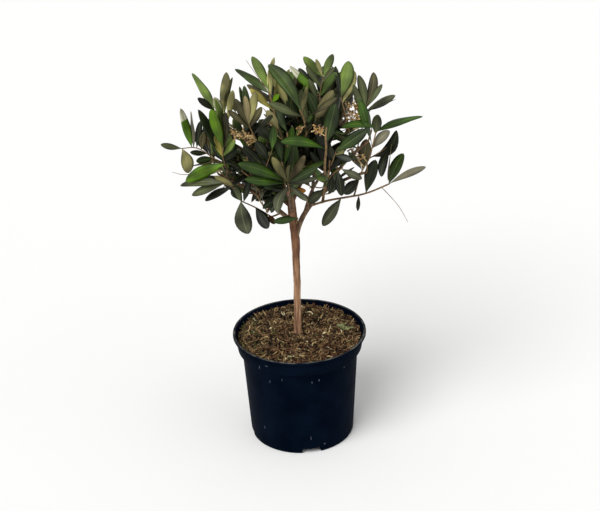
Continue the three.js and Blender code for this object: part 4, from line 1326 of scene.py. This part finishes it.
def ring_faces(rings, sides, looped=False):
    """Quads between rings of points, with a cap on each end or the last ring joined to the first."""
    faces = []
    for ring in range(rings if looped else rings - 1):
        low, high = ring * sides, (ring + 1) % rings * sides
        for k in range(sides):
            after = (k + 1) % sides
            faces.append((low + k, low + after, high + after, high + k))
    if not looped:
        faces.append(tuple(range(sides - 1, -1, -1)))
        faces.append(tuple(range((rings - 1) * sides, rings * sides)))
    return faces


def add_object(name, data):
    thing = bpy.data.objects.new(name, data)
    bpy.context.scene.collection.objects.link(thing)
    return thing


class MeshParts:
    """Small meshes in millimetres that are gathered into one piece."""

    def __init__(self):
        self.vertices = []
        self.faces = []
        self.indices = []
        self.count = 0

    def add(self, vertices, faces, indices=0):
        vertices = np.reshape(vertices, (-1, 3))
        self.vertices.append(vertices)
        self.faces.extend([tuple(i + self.count for i in face) for face in faces])
        self.indices.append(np.broadcast_to(indices, len(faces)))
        self.count += len(vertices)

    def add_rings(self, rings, index=0, looped=False):
        self.add(rings, ring_faces(len(rings), len(rings[0]), looped), index)

    def piece(self, name, materials, smooth=True):
        mesh = bpy.data.meshes.new(name)
        mesh.from_pydata((np.concatenate(self.vertices) * METRES).tolist(), [], self.faces)
        for material in materials:
            mesh.materials.append(material)
        mesh.polygons.foreach_set("material_index", np.concatenate(self.indices).astype(np.int32))
        mesh.polygons.foreach_set("use_smooth", np.full(len(mesh.polygons), smooth))
        mesh.validate()
        mesh.update()
        return add_object(name, mesh)


def lattice_noise(seed, rows, columns, row_share, column_share):
    """Smooth noise from -1 to 1 on a sheet that closes on itself across its columns."""
    lattice = np.random.default_rng(seed).random((rows + 2, columns)) * 2 - 1
    down = np.clip(np.asarray(row_share) * rows, 0, rows - 1e-6)
    across = np.asarray(column_share) * columns
    row, column = np.floor(down).astype(int), np.floor(across).astype(int)
    down, across = down - row, across - column
    down, across = down * down * (3 - 2 * down), across * across * (3 - 2 * across)
    left, right = column % columns, (column + 1) % columns
    upper = lattice[row, left] * (1 - across) + lattice[row, right] * across
    lower = lattice[row + 1, left] * (1 - across) + lattice[row + 1, right] * across
    return upper * (1 - down) + lower * down


def shader_of(material):
    return material.node_tree.nodes["Principled BSDF"]


def new_material(name, colour, shine):
    material = bpy.data.materials.new(name)
    material.use_nodes = True
    shader = shader_of(material)
    shader.inputs["Base Color"].default_value = (*linear(colour), 1)
    shader.inputs["Roughness"].default_value = shine[0]
    shader.inputs["Specular IOR Level"].default_value = shine[1]
    return material


def add_node(material, kind, **inputs):
    node = material.node_tree.nodes.new(kind)
    for name, value in inputs.items():
        node.inputs[name.replace("_", " ")].default_value = value
    return node


def link(material, source, output, target, socket):
    material.node_tree.links.new(source.outputs[output], target.inputs[socket])


def place_of(material, stretch=NO_STRETCH):
    """The point on the object, stretched along its axes."""
    coordinates = add_node(material, "ShaderNodeTexCoord")
    mapping = add_node(material, "ShaderNodeMapping", Scale=stretch)
    link(material, coordinates, "Object", mapping, "Vector")
    return mapping


def noise_of(material, scale, detail, stretch):
    noise = add_node(material, "ShaderNodeTexNoise", Scale=scale, Detail=detail)
    link(material, place_of(material, stretch), "Vector", noise, "Vector")
    return noise


def ramp_of(material, stops):
    ramp = add_node(material, "ShaderNodeValToRGB")
    elements = ramp.color_ramp.elements
    while len(elements) < len(stops):
        elements.new(0.5)
    for element, (position, colour) in zip(elements, stops):
        element.position = position
        element.color = (*linear(colour), 1)
    return ramp


def textured(name, colour, stops, shine, grain, bump, stretch=NO_STRETCH):
    """A material whose colour runs through stops in a grain of noise, with a bump of finer noise."""
    material = new_material(name, colour, shine)
    ramp = ramp_of(material, stops)
    link(material, noise_of(material, *grain, stretch), "Fac", ramp, "Fac")
    link(material, ramp, "Color", shader_of(material), "Base Color")
    if bump:
        scale, detail, strength, distance = bump
        relief = add_node(material, "ShaderNodeBump", Strength=strength, Distance=distance)
        link(material, noise_of(material, scale, detail, stretch), "Fac", relief, "Height")
        link(material, relief, "Normal", shader_of(material), "Normal")
    return material


def mottled(name, colour, shades, *finish):
    """A material in a darker and a lighter shade of one colour."""
    darker, lighter, spread = shades
    stops = []
    for way, factor in ((-1, darker), (1, lighter)):
        stops.append((0.5 + way * spread, [min(FULL_CHANNEL, channel * factor) for channel in colour]))
    return textured(name, colour, stops, *finish)


# Leaf materials mottled partly in their own tones and partly with painted sheen, lighter patches standing in
# for gloss
def leaf_material(name, colour, shine):
    return mottled(name, colour, LEAF_MOTTLE_AND_SHEEN_SHADES, shine, *LEAF_MOTTLE_AND_SHEEN_TEXTURE)


def bark_material(name, stops, stretch=NO_STRETCH):
    return textured(name, stops[0][1], stops, *BARK_FINISH, stretch)


def trunk_material():
    """Streaky bark, orange tan low on the stem and redder brown higher up."""
    material = bark_material("trunk_bark", TRUNK_LOW_BARK, TRUNK_STRETCH)
    tree = material.node_tree
    low_ramp = next(node for node in tree.nodes if node.type == "VALTORGB")
    high_ramp = ramp_of(material, TRUNK_HIGH_BARK)
    tree.links.new(low_ramp.inputs["Fac"].links[0].from_socket, high_ramp.inputs["Fac"])
    height = add_node(material, "ShaderNodeSeparateXYZ")
    link(material, place_of(material), "Vector", height, "Vector")
    rise = add_node(material, "ShaderNodeMapRange", From_Min=BARK_CHANGE[0], From_Max=BARK_CHANGE[1])
    link(material, height, "Z", rise, "Value")
    mix = add_node(material, "ShaderNodeMix")
    mix.data_type = "RGBA"
    link(material, rise, "Result", mix, "Factor")
    link(material, low_ramp, "Color", mix, MIX_FIRST_COLOUR)
    link(material, high_ramp, "Color", mix, MIX_SECOND_COLOUR)
    link(material, mix, MIX_COLOUR_RESULT, shader_of(material), "Base Color")
    return material


def pot_material():
    material = textured("pot_plastic", POT_COLOUR, POT_STOPS, *POT_FINISH)
    shader_of(material).inputs["IOR"].default_value = POT_IOR
    return material


def dress(piece, slot, *nodes):
    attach(piece, "root")
    if nodes:
        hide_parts(*nodes)


def pot_profile():
    """The pot's wall as radius and height, outside from the middle of the foot and back inside.

    The small numbers in it are the rounds of its edges.
    """
    floor = FLOOR_LIFT + WALL
    ring_outside = BODY_FOOT_RADIUS - FOOT_CHAMFER
    slope = (BODY_TOP_RADIUS - BODY_FOOT_RADIUS) / (BODY_TOP_HEIGHT - FOOT_CHAMFER)
    return [
        (AXIS_RADIUS, 0),
        (MIDDLE_FOOT_RADIUS, 0),
        (MIDDLE_FOOT_RADIUS + MIDDLE_FOOT_SLOPE, FLOOR_LIFT),
        (ring_outside - FOOT_RING_WIDTH - WALL, FLOOR_LIFT),
        (ring_outside - FOOT_RING_WIDTH, 0),
        (ring_outside, 0),
        (BODY_FOOT_RADIUS - FOOT_CHAMFER * ROUND_SHARE, FOOT_CHAMFER * ROUND_SHARE),
        (BODY_FOOT_RADIUS, FOOT_CHAMFER),
        (BODY_TOP_RADIUS, BODY_TOP_HEIGHT),
        (BODY_TOP_RADIUS + 0.4, BODY_TOP_HEIGHT + 0.8),
        (COLLAR_FOOT_RADIUS - 0.4, COLLAR_FOOT_HEIGHT - 0.6),
        (COLLAR_FOOT_RADIUS, COLLAR_FOOT_HEIGHT),
        (COLLAR_TOP_RADIUS, POT_HEIGHT - LIP_HEIGHT - LIP_ROUND),
        (RIM_RADIUS - 0.3, POT_HEIGHT - LIP_HEIGHT - 0.1),
        (RIM_RADIUS, POT_HEIGHT - LIP_HEIGHT + 0.3),
        (RIM_RADIUS, POT_HEIGHT - LIP_ROUND),
        (RIM_RADIUS - LIP_ROUND * ROUND_SHARE, POT_HEIGHT - LIP_ROUND * ROUND_SHARE),
        (RIM_RADIUS - LIP_ROUND, POT_HEIGHT),
        (COLLAR_TOP_RADIUS + 0.5, POT_HEIGHT),
        (COLLAR_TOP_RADIUS, POT_HEIGHT - 0.4),
        (COLLAR_TOP_RADIUS - WALL, POT_HEIGHT - LIP_HEIGHT),
        (COLLAR_FOOT_RADIUS - WALL, COLLAR_FOOT_HEIGHT),
        (BODY_TOP_RADIUS - WALL, BODY_TOP_HEIGHT),
        (BODY_FOOT_RADIUS + slope * (floor - FOOT_CHAMFER) - WALL, floor),
        (MIDDLE_FOOT_RADIUS + MIDDLE_FOOT_SLOPE - WALL, floor),
        (MIDDLE_FOOT_RADIUS - WALL, WALL),
        (AXIS_RADIUS, WALL),
    ]


def around(rings, azimuth):
    """Rings of points turned about the pot's middle by an azimuth."""
    turn = np.array(Matrix.Rotation(math.radians(azimuth), 3, "Z"))
    return (np.reshape(rings, (-1, 3)) @ turn.T).reshape(len(rings), -1, 3)


def notch_rings(azimuth):
    foot, top = NOTCH_WIDTH / 2, NOTCH_WIDTH / 2 - NOTCH_SLANT
    low, high = -NOTCH_BELOW, NOTCH_TOP
    outline = [(-foot, low), (foot, low), (foot, 0), (top, high), (-top, high), (-foot, 0)]
    start = BODY_FOOT_RADIUS - FOOT_RING_WIDTH - FOOT_CHAMFER * 2
    return around([[(r, y, z) for y, z in outline] for r in (start, start + NOTCH_LENGTH)], azimuth)


def drain_rings(azimuth):
    x, y = DRAIN_RADIUS * np.array([(math.cos(t), math.sin(t)) for t in turns_of(DRAIN_SIDES)]).T
    heights = (FLOOR_LIFT - WALL, FLOOR_LIFT + WALL * 2)
    return around([np.stack([DRAIN_CIRCLE_RADIUS + x, y, 0 * x + z], axis=1) for z in heights], azimuth)


def cut_pot(pot):
    """Cuts the foot's notches and the drain holes."""
    parts = MeshParts()
    for i in range(NOTCH_COUNT):
        parts.add_rings(notch_rings(FIRST_NOTCH_AZIMUTH + 360 * i / NOTCH_COUNT))
    for i in range(DRAIN_COUNT):
        parts.add_rings(drain_rings(360 * (i + 0.5) / DRAIN_COUNT))
    cutter = parts.piece("pot_cutter", [], smooth=False)
    turn_outward(cutter)
    boolean = pot.modifiers.new("cuts", "BOOLEAN")
    boolean.operation = "DIFFERENCE"
    boolean.object = cutter
    apply_modifiers(pot)
    bpy.data.objects.remove(cutter)


def turn_outward(piece):
    """Turns the faces of closed shapes so that they face outward."""
    shapes = bmesh.new()
    shapes.from_mesh(piece.data)
    bmesh.ops.recalc_face_normals(shapes, faces=shapes.faces)
    shapes.to_mesh(piece.data)
    shapes.free()


def make_pot():
    parts = MeshParts()
    turns = turns_of(POT_SIDES)
    rings = [[(r * math.cos(t), r * math.sin(t), z) for t in turns] for r, z in pot_profile()]
    parts.add_rings(rings, looped=True)
    pot = parts.piece("pot_shell", [pot_material()])
    turn_outward(pot)
    cut_pot(pot)
    # The lip's upward faces get a paler material: soil dust together with a painted highlight of the edge
    # catching the light
    pot.data.materials.append(textured("pot_lip_dust_and_highlight", LIP_DUST_AND_HIGHLIGHT_COLOUR, LIP_DUST_AND_HIGHLIGHT_STOPS, *LIP_DUST_AND_HIGHLIGHT_FINISH))
    lip_dust_and_highlight = [
        1 if face.normal.z > 0.5 and face.center.z > (POT_HEIGHT - LIP_ROUND) * METRES else 0
        for face in pot.data.polygons
    ]
    pot.data.polygons.foreach_set("material_index", lip_dust_and_highlight)
    pot.data.polygons.foreach_set("use_smooth", np.full(len(pot.data.polygons), True))
    pot.data.set_sharp_from_angle(angle=math.radians(POT_SHARP_ANGLE))
    dress(pot, "pot", "pot")
    make_scuffs()


def wall_spot(pixel):
    """The place on the pot's outer wall that shows at a pixel, and the outward direction there."""
    radii, heights = np.array(pot_profile()[OUTER_WALL]).T
    for depth in np.arange(*WALL_DEPTHS):
        point = place_at(pixel, depth)
        wall = np.interp(point[2], heights, radii)
        radius = math.hypot(point[0], point[1])
        if radius < wall:
            outward = np.array([point[0] / radius, point[1] / radius, 0])
            return outward * wall + UP * point[2], outward


def make_scuffs():
    """Small pale scrapes on the pot's wall."""
    material = mottled("pot_scuff", SCUFF_COLOUR, SCUFF_SHADES, *SCUFF_FINISH)
    parts = MeshParts()
    for x, y, tall, broad in SCUFFS:
        point, outward = wall_spot((x, y))
        side = np.cross(UP, outward)
        rings = []
        for share in np.linspace(-0.5, 0.5, SCUFF_RINGS):
            half = broad / 2 * (1 - (2 * share) ** 2) + SCUFF_RAISE
            sway = side * SCUFF_SWAY * math.sin(SCUFF_WAVES * share + x)
            middle = point + outward * SCUFF_RAISE + UP * tall * share + sway
            sunk = middle - outward * SCUFF_DEPTH
            reach = side * half
            rings.append([middle - reach, middle + reach, sunk + reach / 2, sunk - reach / 2])
        parts.add_rings(rings)
    dress(parts.piece("pot_scuffs", [material]), "pot")


def apply_modifiers(piece):
    depsgraph = bpy.context.evaluated_depsgraph_get()
    mesh = bpy.data.meshes.new_from_object(piece.evaluated_get(depsgraph))
    piece.modifiers.clear()
    piece.data = mesh


def ring_noise(seed, patches, marks, sides):
    """Smooth noise on rings at marks along a line, in patches along it and round it."""
    along = (marks - marks[0])[:, None] / (marks[-1] - marks[0])
    return lattice_noise(seed, *patches, along, np.arange(sides)[None, :] / sides)


def make_trunk():
    top = TRUNK_STATIONS[-1, 0]
    heights = np.arange(TRUNK_FOOT - TRUNK_SINK, top + TRUNK_RING_STEP, TRUNK_RING_STEP)
    points, radii = trunk_at(np.clip(heights, TRUNK_FOOT, top))
    points[:, 2] = heights
    weights = np.array(TRUNK_SMOOTHING) / sum(TRUNK_SMOOTHING)
    for column in (points[:, 0], points[:, 1], radii):
        column[:] = np.convolve(np.pad(column, len(weights) // 2, mode="edge"), weights, mode="valid")
    relief = 0
    for seed, patches, depth in TRUNK_RELIEF:
        relief = relief + depth * ring_noise(seed, patches, heights, TRUNK_SIDES)
    parts = MeshParts()
    parts.add_rings(tube_rings(Row(points, radii), TRUNK_SIDES, relief))
    dress(parts.piece("trunk_bark", [trunk_material()]), "bark", "trunk")


def make_boughs(crown):
    parts = MeshParts()
    for limb in crown.limbs:
        end = crown.limb_ends[limb.mass.name]
        if end:
            girth = limb.mass.girth
            count = max(BOUGH_FEWEST_RINGS, int(limb.curve.length() * end / BOUGH_RING_STEP))
            row = limb.curve.row(0, end, count, girth, girth + (STEM_TIP_RADIUS - girth) * end)
            marks = row.distances()
            row.radii = row.radii * (1 + BOUGH_FLARE * np.exp(-marks / BOUGH_FLARE_LENGTH))
            noise = ring_noise(BOUGH_NOISE_KEY + limb.seed, (count // 3, BOUGH_PATCHES), marks, BOUGH_SIDES)
            parts.add_rings(tube_rings(row, BOUGH_SIDES, BOUGH_RELIEF * noise))
    material = bark_material("bough_bark", BOUGH_BARK, BOUGH_STRETCH)
    dress(parts.piece("bough_bark", [material]), "young_bark", *BOUGH_NODES)


def make_twigs(crown):
    parts = MeshParts()
    for row in crown.twigs:
        parts.add_rings(tube_rings(row, TWIG_SIDES))
    dress(parts.piece("twigs", [bark_material("twig_bark", TWIG_BARK)]), "young_bark", *FOLIAGE_NODES)


def bud_rings(place, radius):
    """A small blunt bud."""
    rings = []
    for wide, high in BUD_RINGS:
        spots = [(wide * math.cos(turn), wide * math.sin(turn), high) for turn in turns_of(BUD_SIDES)]
        rings.append(place + radius * np.array(spots))
    return rings


def dried_head(parts, rng, start, end):
    """A flower head from its foot on the twig to its end, in stalks and buds."""
    bend = (start + end) / 2 + UP * rng.uniform(*HEAD_BEND)
    stalk = Curve(start, bend, end).row(0, 1, HEAD_POINTS, *HEAD_RADII)
    parts.add_rings(tube_rings(stalk, HEAD_SIDES))
    for number in range(HEAD_STALKS):
        point, heading = stalk.at(stalk.length() * (HEAD_BARE + (1 - HEAD_BARE) * number / HEAD_STALKS))
        out = turned(heading, turned(*across_of(heading), HEAD_TURN * number), rng.uniform(*HEAD_SPREAD))
        length = rng.uniform(*HEAD_STALK_LENGTHS)
        tip = point + out * length + UP * rng.uniform(*HEAD_STALK_RISE)
        side = Curve(point, point + out * length / 2, tip)
        parts.add_rings(tube_rings(side.row(0, 1, SIDE_STALK_POINTS, *SIDE_STALK_RADII), STALK_SIDES))
        for bud in range(BUDS_ON_STALK):
            place = side.point(1 - BUD_STEP * bud) + rng.normal(0, BUD_SCATTER, 3)
            parts.add_rings(bud_rings(place, rng.uniform(*BUD_RADII)), rng.integers(0, len(DRIED_STOPS)))


def make_dried_flowers(crown):
    rng = np.random.default_rng(FLOWER_SEED)
    parts = MeshParts()
    rows = dict(zip(SPRAYS, crown.shown.outer_rows))
    for spray, heads in DRIED_HEADS.items():
        for share, x, y in heads:
            start = rows[spray].spot(share)
            depth = pixels_of(start)[1][0] + rng.uniform(*HEAD_DEPTHS)
            dried_head(parts, rng, start, place_at((x, y), depth))
    for spray, share, pixels in DRY_STALKS:
        start = rows[spray].spot(share)
        depth = pixels_of(start)[1][0]
        points = softened(np.array([start] + [place_at(pixel, depth) for pixel in pixels]))
        stalk = Row(points, np.linspace(*STALK_RADII, len(points)))
        parts.add_rings(tube_rings(stalk, STALK_SIDES), DRY_STALK_MATERIAL)
    materials = [bark_material(name, stops) for name, stops in DRIED_STOPS.items()]
    dress(parts.piece("dried_flowers", materials), "young_bark")


def leaf_profile(share):
    """The blade's half width at shares of its length, as a share of the widest."""
    below = np.sin(math.pi / 2 * np.clip(share / BLADE_WIDEST_AT, 0, 1)) ** BASE_SLIMNESS
    above = np.clip((share - BLADE_WIDEST_AT) / (1 - BLADE_WIDEST_AT), 0, 1)
    return np.where(share < BLADE_WIDEST_AT, below, (1 - above ** TIP_ROUNDNESS) ** TIP_FULLNESS)


def leaf_mesh(leaf):
    shares, sides = LEAF_SHARES[:, None], LEAF_SIDES[None, :]
    stalk = STALK_HALF_BREADTH * (shares < STALK_SHARE)
    half = np.maximum(np.maximum(leaf_profile(shares) * leaf.width / 2, stalk), TIP_HALF_BREADTH)
    fold = between(LEAF_FOLDS, *leaf.keys, FOLD) * LEAF_FOLD
    wave = between(LEAF_WAVE, *leaf.keys, WAVE) * leaf.length
    sway = between(SHOWN_SWAY if leaf.seen_width else LEAF_SWAY, *leaf.keys, SWAY) * leaf.length
    lift = half * (fold * np.abs(sides) - LEAF_ROLL * sides ** 4)
    lift = lift + wave * np.sin(FULL_TURN * shares) * sides
    middle = leaf.middle(LEAF_SHARES)[:, None] + leaf.wide * (sway * shares ** 2)[..., None]
    top = middle + leaf.wide * (half * sides)[..., None] + leaf.normal * lift[..., None]
    depth = TIP_THICKNESS + FOOT_THICKNESS * np.exp(-shares * THINNING)
    depth = BLADE_THICKNESS * (1 - sides ** 2) * depth
    low = top - leaf.normal * depth[..., None]
    return np.concatenate([top.reshape(-1, 3), low[:, 1:-1].reshape(-1, 3)])


def leaf_faces():
    """Faces of one leaf and the kind of each."""
    rows, columns = len(LEAF_SHARES), len(LEAF_SIDES)

    def low(r, c):
        if c in (0, columns - 1):
            return r * columns + c
        return rows * columns + r * (columns - 2) + c - 1

    faces, kinds = [], []
    for r in range(rows - 1):
        for c in range(columns - 1):
            near, far = r * columns + c, (r + 1) * columns + c
            faces.append((near, far, far + 1, near + 1))
            faces.append((low(r, c), low(r, c + 1), low(r + 1, c + 1), low(r + 1, c)))
            kinds.extend((RIB, UNDER_RIB) if c == RIB_COLUMN else (UPPER, UNDER))
    for r in (0, rows - 1):
        ends = [r * columns + c for c in range(columns)] + [low(r, c) for c in range(columns - 2, 0, -1)]
        faces.append(tuple(ends if r == 0 else reversed(ends)))
        kinds.append(UNDER)
    return faces, kinds


def tipped_kinds(faces, kinds):
    """The kinds of a leaf's faces with those toward the tip set apart."""
    tip_corner = int(np.searchsorted(LEAF_SHARES, TIP_FROM)) * len(LEAF_SIDES)
    tips = [kind == UPPER and min(face) >= tip_corner for face, kind in zip(faces, kinds)]
    return [UPPER_TIP if tip else kind for tip, kind in zip(tips, kinds)]


def rib_colour(rib, blade):
    return tuple(b + (a - b) * RIB_SHARE for a, b in zip(rib, blade))


def make_leaves(crown):
    faces, plain_kinds = leaf_faces()
    for tint, (upper, under) in TINTS.items():
        tipped = tint == "tipped"
        kinds = tipped_kinds(faces, plain_kinds) if tipped else plain_kinds
        parts = MeshParts()
        for leaf in crown.leaves:
            if leaf.tint == tint:
                parts.add(leaf_mesh(leaf), faces, kinds)
        colours = {
            "upper": upper,
            "under": under,
            "rib": rib_colour(RIB_TINT, upper),
            "tip": TIP_COLOUR if tipped else upper,
            "under_rib": rib_colour(UNDER_RIB_TINT, under),
        }
        shines = LEAF_SHINES.items()
        materials = [leaf_material(f"leaf_{tint}_{kind}", colours[kind], shine) for kind, shine in shines]
        dress(parts.piece(f"leaves_{tint}", materials), "leaves", *FOLIAGE_NODES)


def soil_height(radius):
    share = np.minimum(np.asarray(radius) / SOIL_RADIUS, 1)
    return SOIL_EDGE_HEIGHT + (SOIL_MIDDLE_HEIGHT - SOIL_EDGE_HEIGHT) * (1 - share * share)


def chip_rings(rng):
    """A curled shaving at the origin, lying about flat."""
    length = rng.uniform(*CHIP_LENGTHS)
    width = rng.uniform(*CHIP_WIDTHS)
    thick = rng.uniform(*CHIP_THICKNESSES)
    turn = rng.uniform(*(CHIP_RING_TURNS if rng.random() < CHIP_RING_SHARE else CHIP_CURL_TURNS))
    twist = rng.uniform(*CHIP_TWISTS)
    radius = length / turn
    rings = []
    for share in np.linspace(-0.5, 0.5, CHIP_RINGS):
        angle = turn * share
        middle = np.array([radius * np.sin(angle), radius * (1 - np.cos(angle)), 0])
        inward = np.array([-math.sin(angle), math.cos(angle), 0])
        flat = turned(inward, UP, math.degrees(twist * share))
        upright = turned(UP, -inward, math.degrees(twist * share))
        half, deep = width / 2 * (1 - CHIP_TAPER * abs(2 * share) ** 2), thick / 2
        rings.append([middle + flat * half * side + upright * deep * rise for side, rise in CHIP_CORNERS])
    return np.array(rings)


def laid_chip(rng):
    """A shaving turned at random on the soil, and the middle of its place."""
    rings = chip_rings(rng)
    radius = (SOIL_RADIUS - CHIP_MARGIN) * math.sqrt(rng.random())
    azimuth = rng.random() * FULL_TURN
    turn = Matrix.Rotation(rng.random() * FULL_TURN, 3, "Z")
    for axis, tilt in CHIP_TILTS:
        turn = turn @ Matrix.Rotation(rng.normal(0, tilt), 3, axis)
    if rng.random() < CHIPS_ON_EDGE:
        turn = turn @ Matrix.Rotation(math.pi / 2 * rng.uniform(*CHIP_EDGE_TURNS), 3, "X")
    points = rings.reshape(-1, 3) @ np.array(turn).T
    points[:, 2] -= points[:, 2].min()
    centre = np.array([radius * math.cos(azimuth), radius * math.sin(azimuth), 0])
    points = points + centre
    points[:, 2] += soil_height(radius) - CHIP_SINK + rng.uniform(0, CHIP_LAYER)
    limit = np.linalg.norm(points[:, :2], axis=1).max()
    if limit > SOIL_RADIUS:
        points[:, :2] *= (SOIL_RADIUS - CHIP_INSET) / limit
    return points.reshape(rings.shape), centre


def chip_tint(rng, place):
    """A shaving's tint: mossier at the left edge of the pot and redder at its front."""
    left, front = -place[0] / SOIL_RADIUS, -place[1] / SOIL_RADIUS
    chosen, stray = rng.random(), rng.random()
    if stray < MOSSY_LEFT * max(left, 0) ** 3 + MOSSY_ANYWHERE:
        return "mossy"
    if stray < RUSSET_FRONT * max(front, 0) + RUSSET_ANYWHERE:
        return "russet"
    return dealt(CHIP_SHARES, chosen)


def make_mulch():
    rng = np.random.default_rng(MULCH_SEED)
    parts = {tint: MeshParts() for tint in CHIP_TINTS}
    for _ in range(CHIP_COUNT):
        rings, centre = laid_chip(rng)
        if np.linalg.norm(centre[:2] - TRUNK_STATIONS[0, 1:3]) >= TRUNK_CLEARING:
            parts[chip_tint(rng, centre)].add_rings(rings)
    for tint, colour in CHIP_TINTS.items():
        material = mottled(f"mulch_{tint}", colour, CHIP_SHADES, *CHIP_FINISH)
        dress(parts[tint].piece(f"mulch_{tint}", [material], smooth=False), "soil", "soil")


def soil_spot(pixel):
    """The place just over the mulch's edge that shows at a pixel."""
    far = place_at(pixel, CAMERA_DISTANCE)
    share = (CAMERA_PLACE[2] - SOIL_EDGE_HEIGHT - FALLEN_LIFT) / (CAMERA_PLACE[2] - far[2])
    return CAMERA_PLACE + (far - CAMERA_PLACE) * share


def make_fallen_leaf():
    start, end = soil_spot(FALLEN_FROM), soil_spot(FALLEN_TO)
    side = unit(np.cross(UP, end - start))
    shares = np.linspace(0, 1, FALLEN_RINGS)
    lobes = np.abs(np.sin(math.pi * FALLEN_LOBES * shares)) ** FALLEN_FULLNESS
    lobes = FALLEN_NOTCHES + (1 - FALLEN_NOTCHES) * lobes
    half = FALLEN_WIDTH / 2 * np.sin(math.pi * np.clip(shares, *FALLEN_ENDS)) ** FALLEN_FULLNESS * lobes
    (lift, waves), (edge_lift, edge_waves) = FALLEN_WAVE, FALLEN_EDGE_WAVE
    middle = start + (end - start) * shares[:, None] + UP * (lift * np.sin(shares * waves))[:, None]
    raised = middle + UP * (edge_lift * np.cos(shares * edge_waves))[:, None]
    edges = [raised + side * (half * k)[:, None] for k in (-1, 1)]
    thick = UP * FALLEN_THICKNESS / 2
    parts = MeshParts()
    parts.add_rings(np.stack([edges[0], middle + thick, edges[1], middle - thick], axis=1))
    material = leaf_material("leaf_fallen", FALLEN_COLOUR, FALLEN_SHINE)
    dress(parts.piece("fallen_leaf", [material]), "leaves")


def make_soil():
    radii = np.linspace(SOIL_INNERMOST, SOIL_RADIUS, SOIL_RINGS)
    radius, turn = np.meshgrid(radii, turns_of(SOIL_SIDES), indexing="ij")
    outward = radius / SOIL_RADIUS * SOIL_PATCH_SHARE
    bumps = lattice_noise(SOIL_SEED, *SOIL_PATCHES, outward, turn / FULL_TURN)
    height = soil_height(radius) - SOIL_BUMP_SINK + SOIL_BUMPS * bumps
    top = np.stack([radius * np.cos(turn), radius * np.sin(turn), height], axis=-1)
    edge = top[-1] * (SOIL_FOOT_SCALE, SOIL_FOOT_SCALE, 0) + UP * (SOIL_EDGE_HEIGHT - SOIL_DEPTH)
    parts = MeshParts()
    parts.add_rings([*top, edge])
    material = textured("soil_ground", SOIL_COLOUR, SOIL_STOPS, *SOIL_FINISH)
    dress(parts.piece("soil_ground", [material]), "soil", "soil")


def make_floor():
    parts = MeshParts()
    corners = [(x * FLOOR_REACH, y * FLOOR_REACH, 0) for x, y in ((-1, -1), (1, -1), (1, 1), (-1, 1))]
    parts.add(corners, [(0, 1, 2, 3)])
    floor = parts.piece("floor", [new_material("floor", FLOOR_COLOUR, FLOOR_SHINE)], smooth=False)


def add_sun(name, direction, strength, spread):
    """A distant soft light that shines from a direction."""
    light = bpy.data.lights.new(name, "SUN")
    light.energy = strength
    light.angle = math.radians(spread)
    add_object(name, light).rotation_euler = Vector(direction).to_track_quat("Z", "Y").to_euler()


def make_lights():
    world = bpy.data.worlds.new("studio")
    world.use_nodes = True
    background = world.node_tree.nodes["Background"]
    background.inputs["Color"].default_value = (1, 1, 1, 1)
    background.inputs["Strength"].default_value = WORLD_STRENGTH
    bpy.context.scene.world = world
    bpy.context.scene.view_settings.view_transform = "Standard"
    add_sun("key", KEY_DIRECTION, KEY_STRENGTH, KEY_SPREAD)
    add_sun("fill", FILL_DIRECTION, FILL_STRENGTH, FILL_SPREAD)


def make_camera():
    data = bpy.data.cameras.new("camera")
    data.sensor_width = SENSOR_WIDTH
    data.lens = CAMERA_FOCAL_PIXELS / IMAGE_WIDTH * SENSOR_WIDTH
    data.shift_x = CAMERA_SHIFT_PIXELS / IMAGE_WIDTH
    camera = add_object("camera", data)
    turn = Matrix((SIDE, TOP, -FORWARD)).transposed().to_4x4()
    camera.matrix_world = Matrix.Translation(CAMERA_PLACE * METRES) @ turn
    bpy.context.scene.camera = camera


make_camera()
make_lights()
make_floor()
crown = Crown()
make_pot()
make_soil()
make_mulch()
make_trunk()
make_boughs(crown)
make_twigs(crown)
make_leaves(crown)
make_dried_flowers(crown)
make_fallen_leaf()
print("leaves", len(crown.leaves), "twigs", len(crown.twigs))
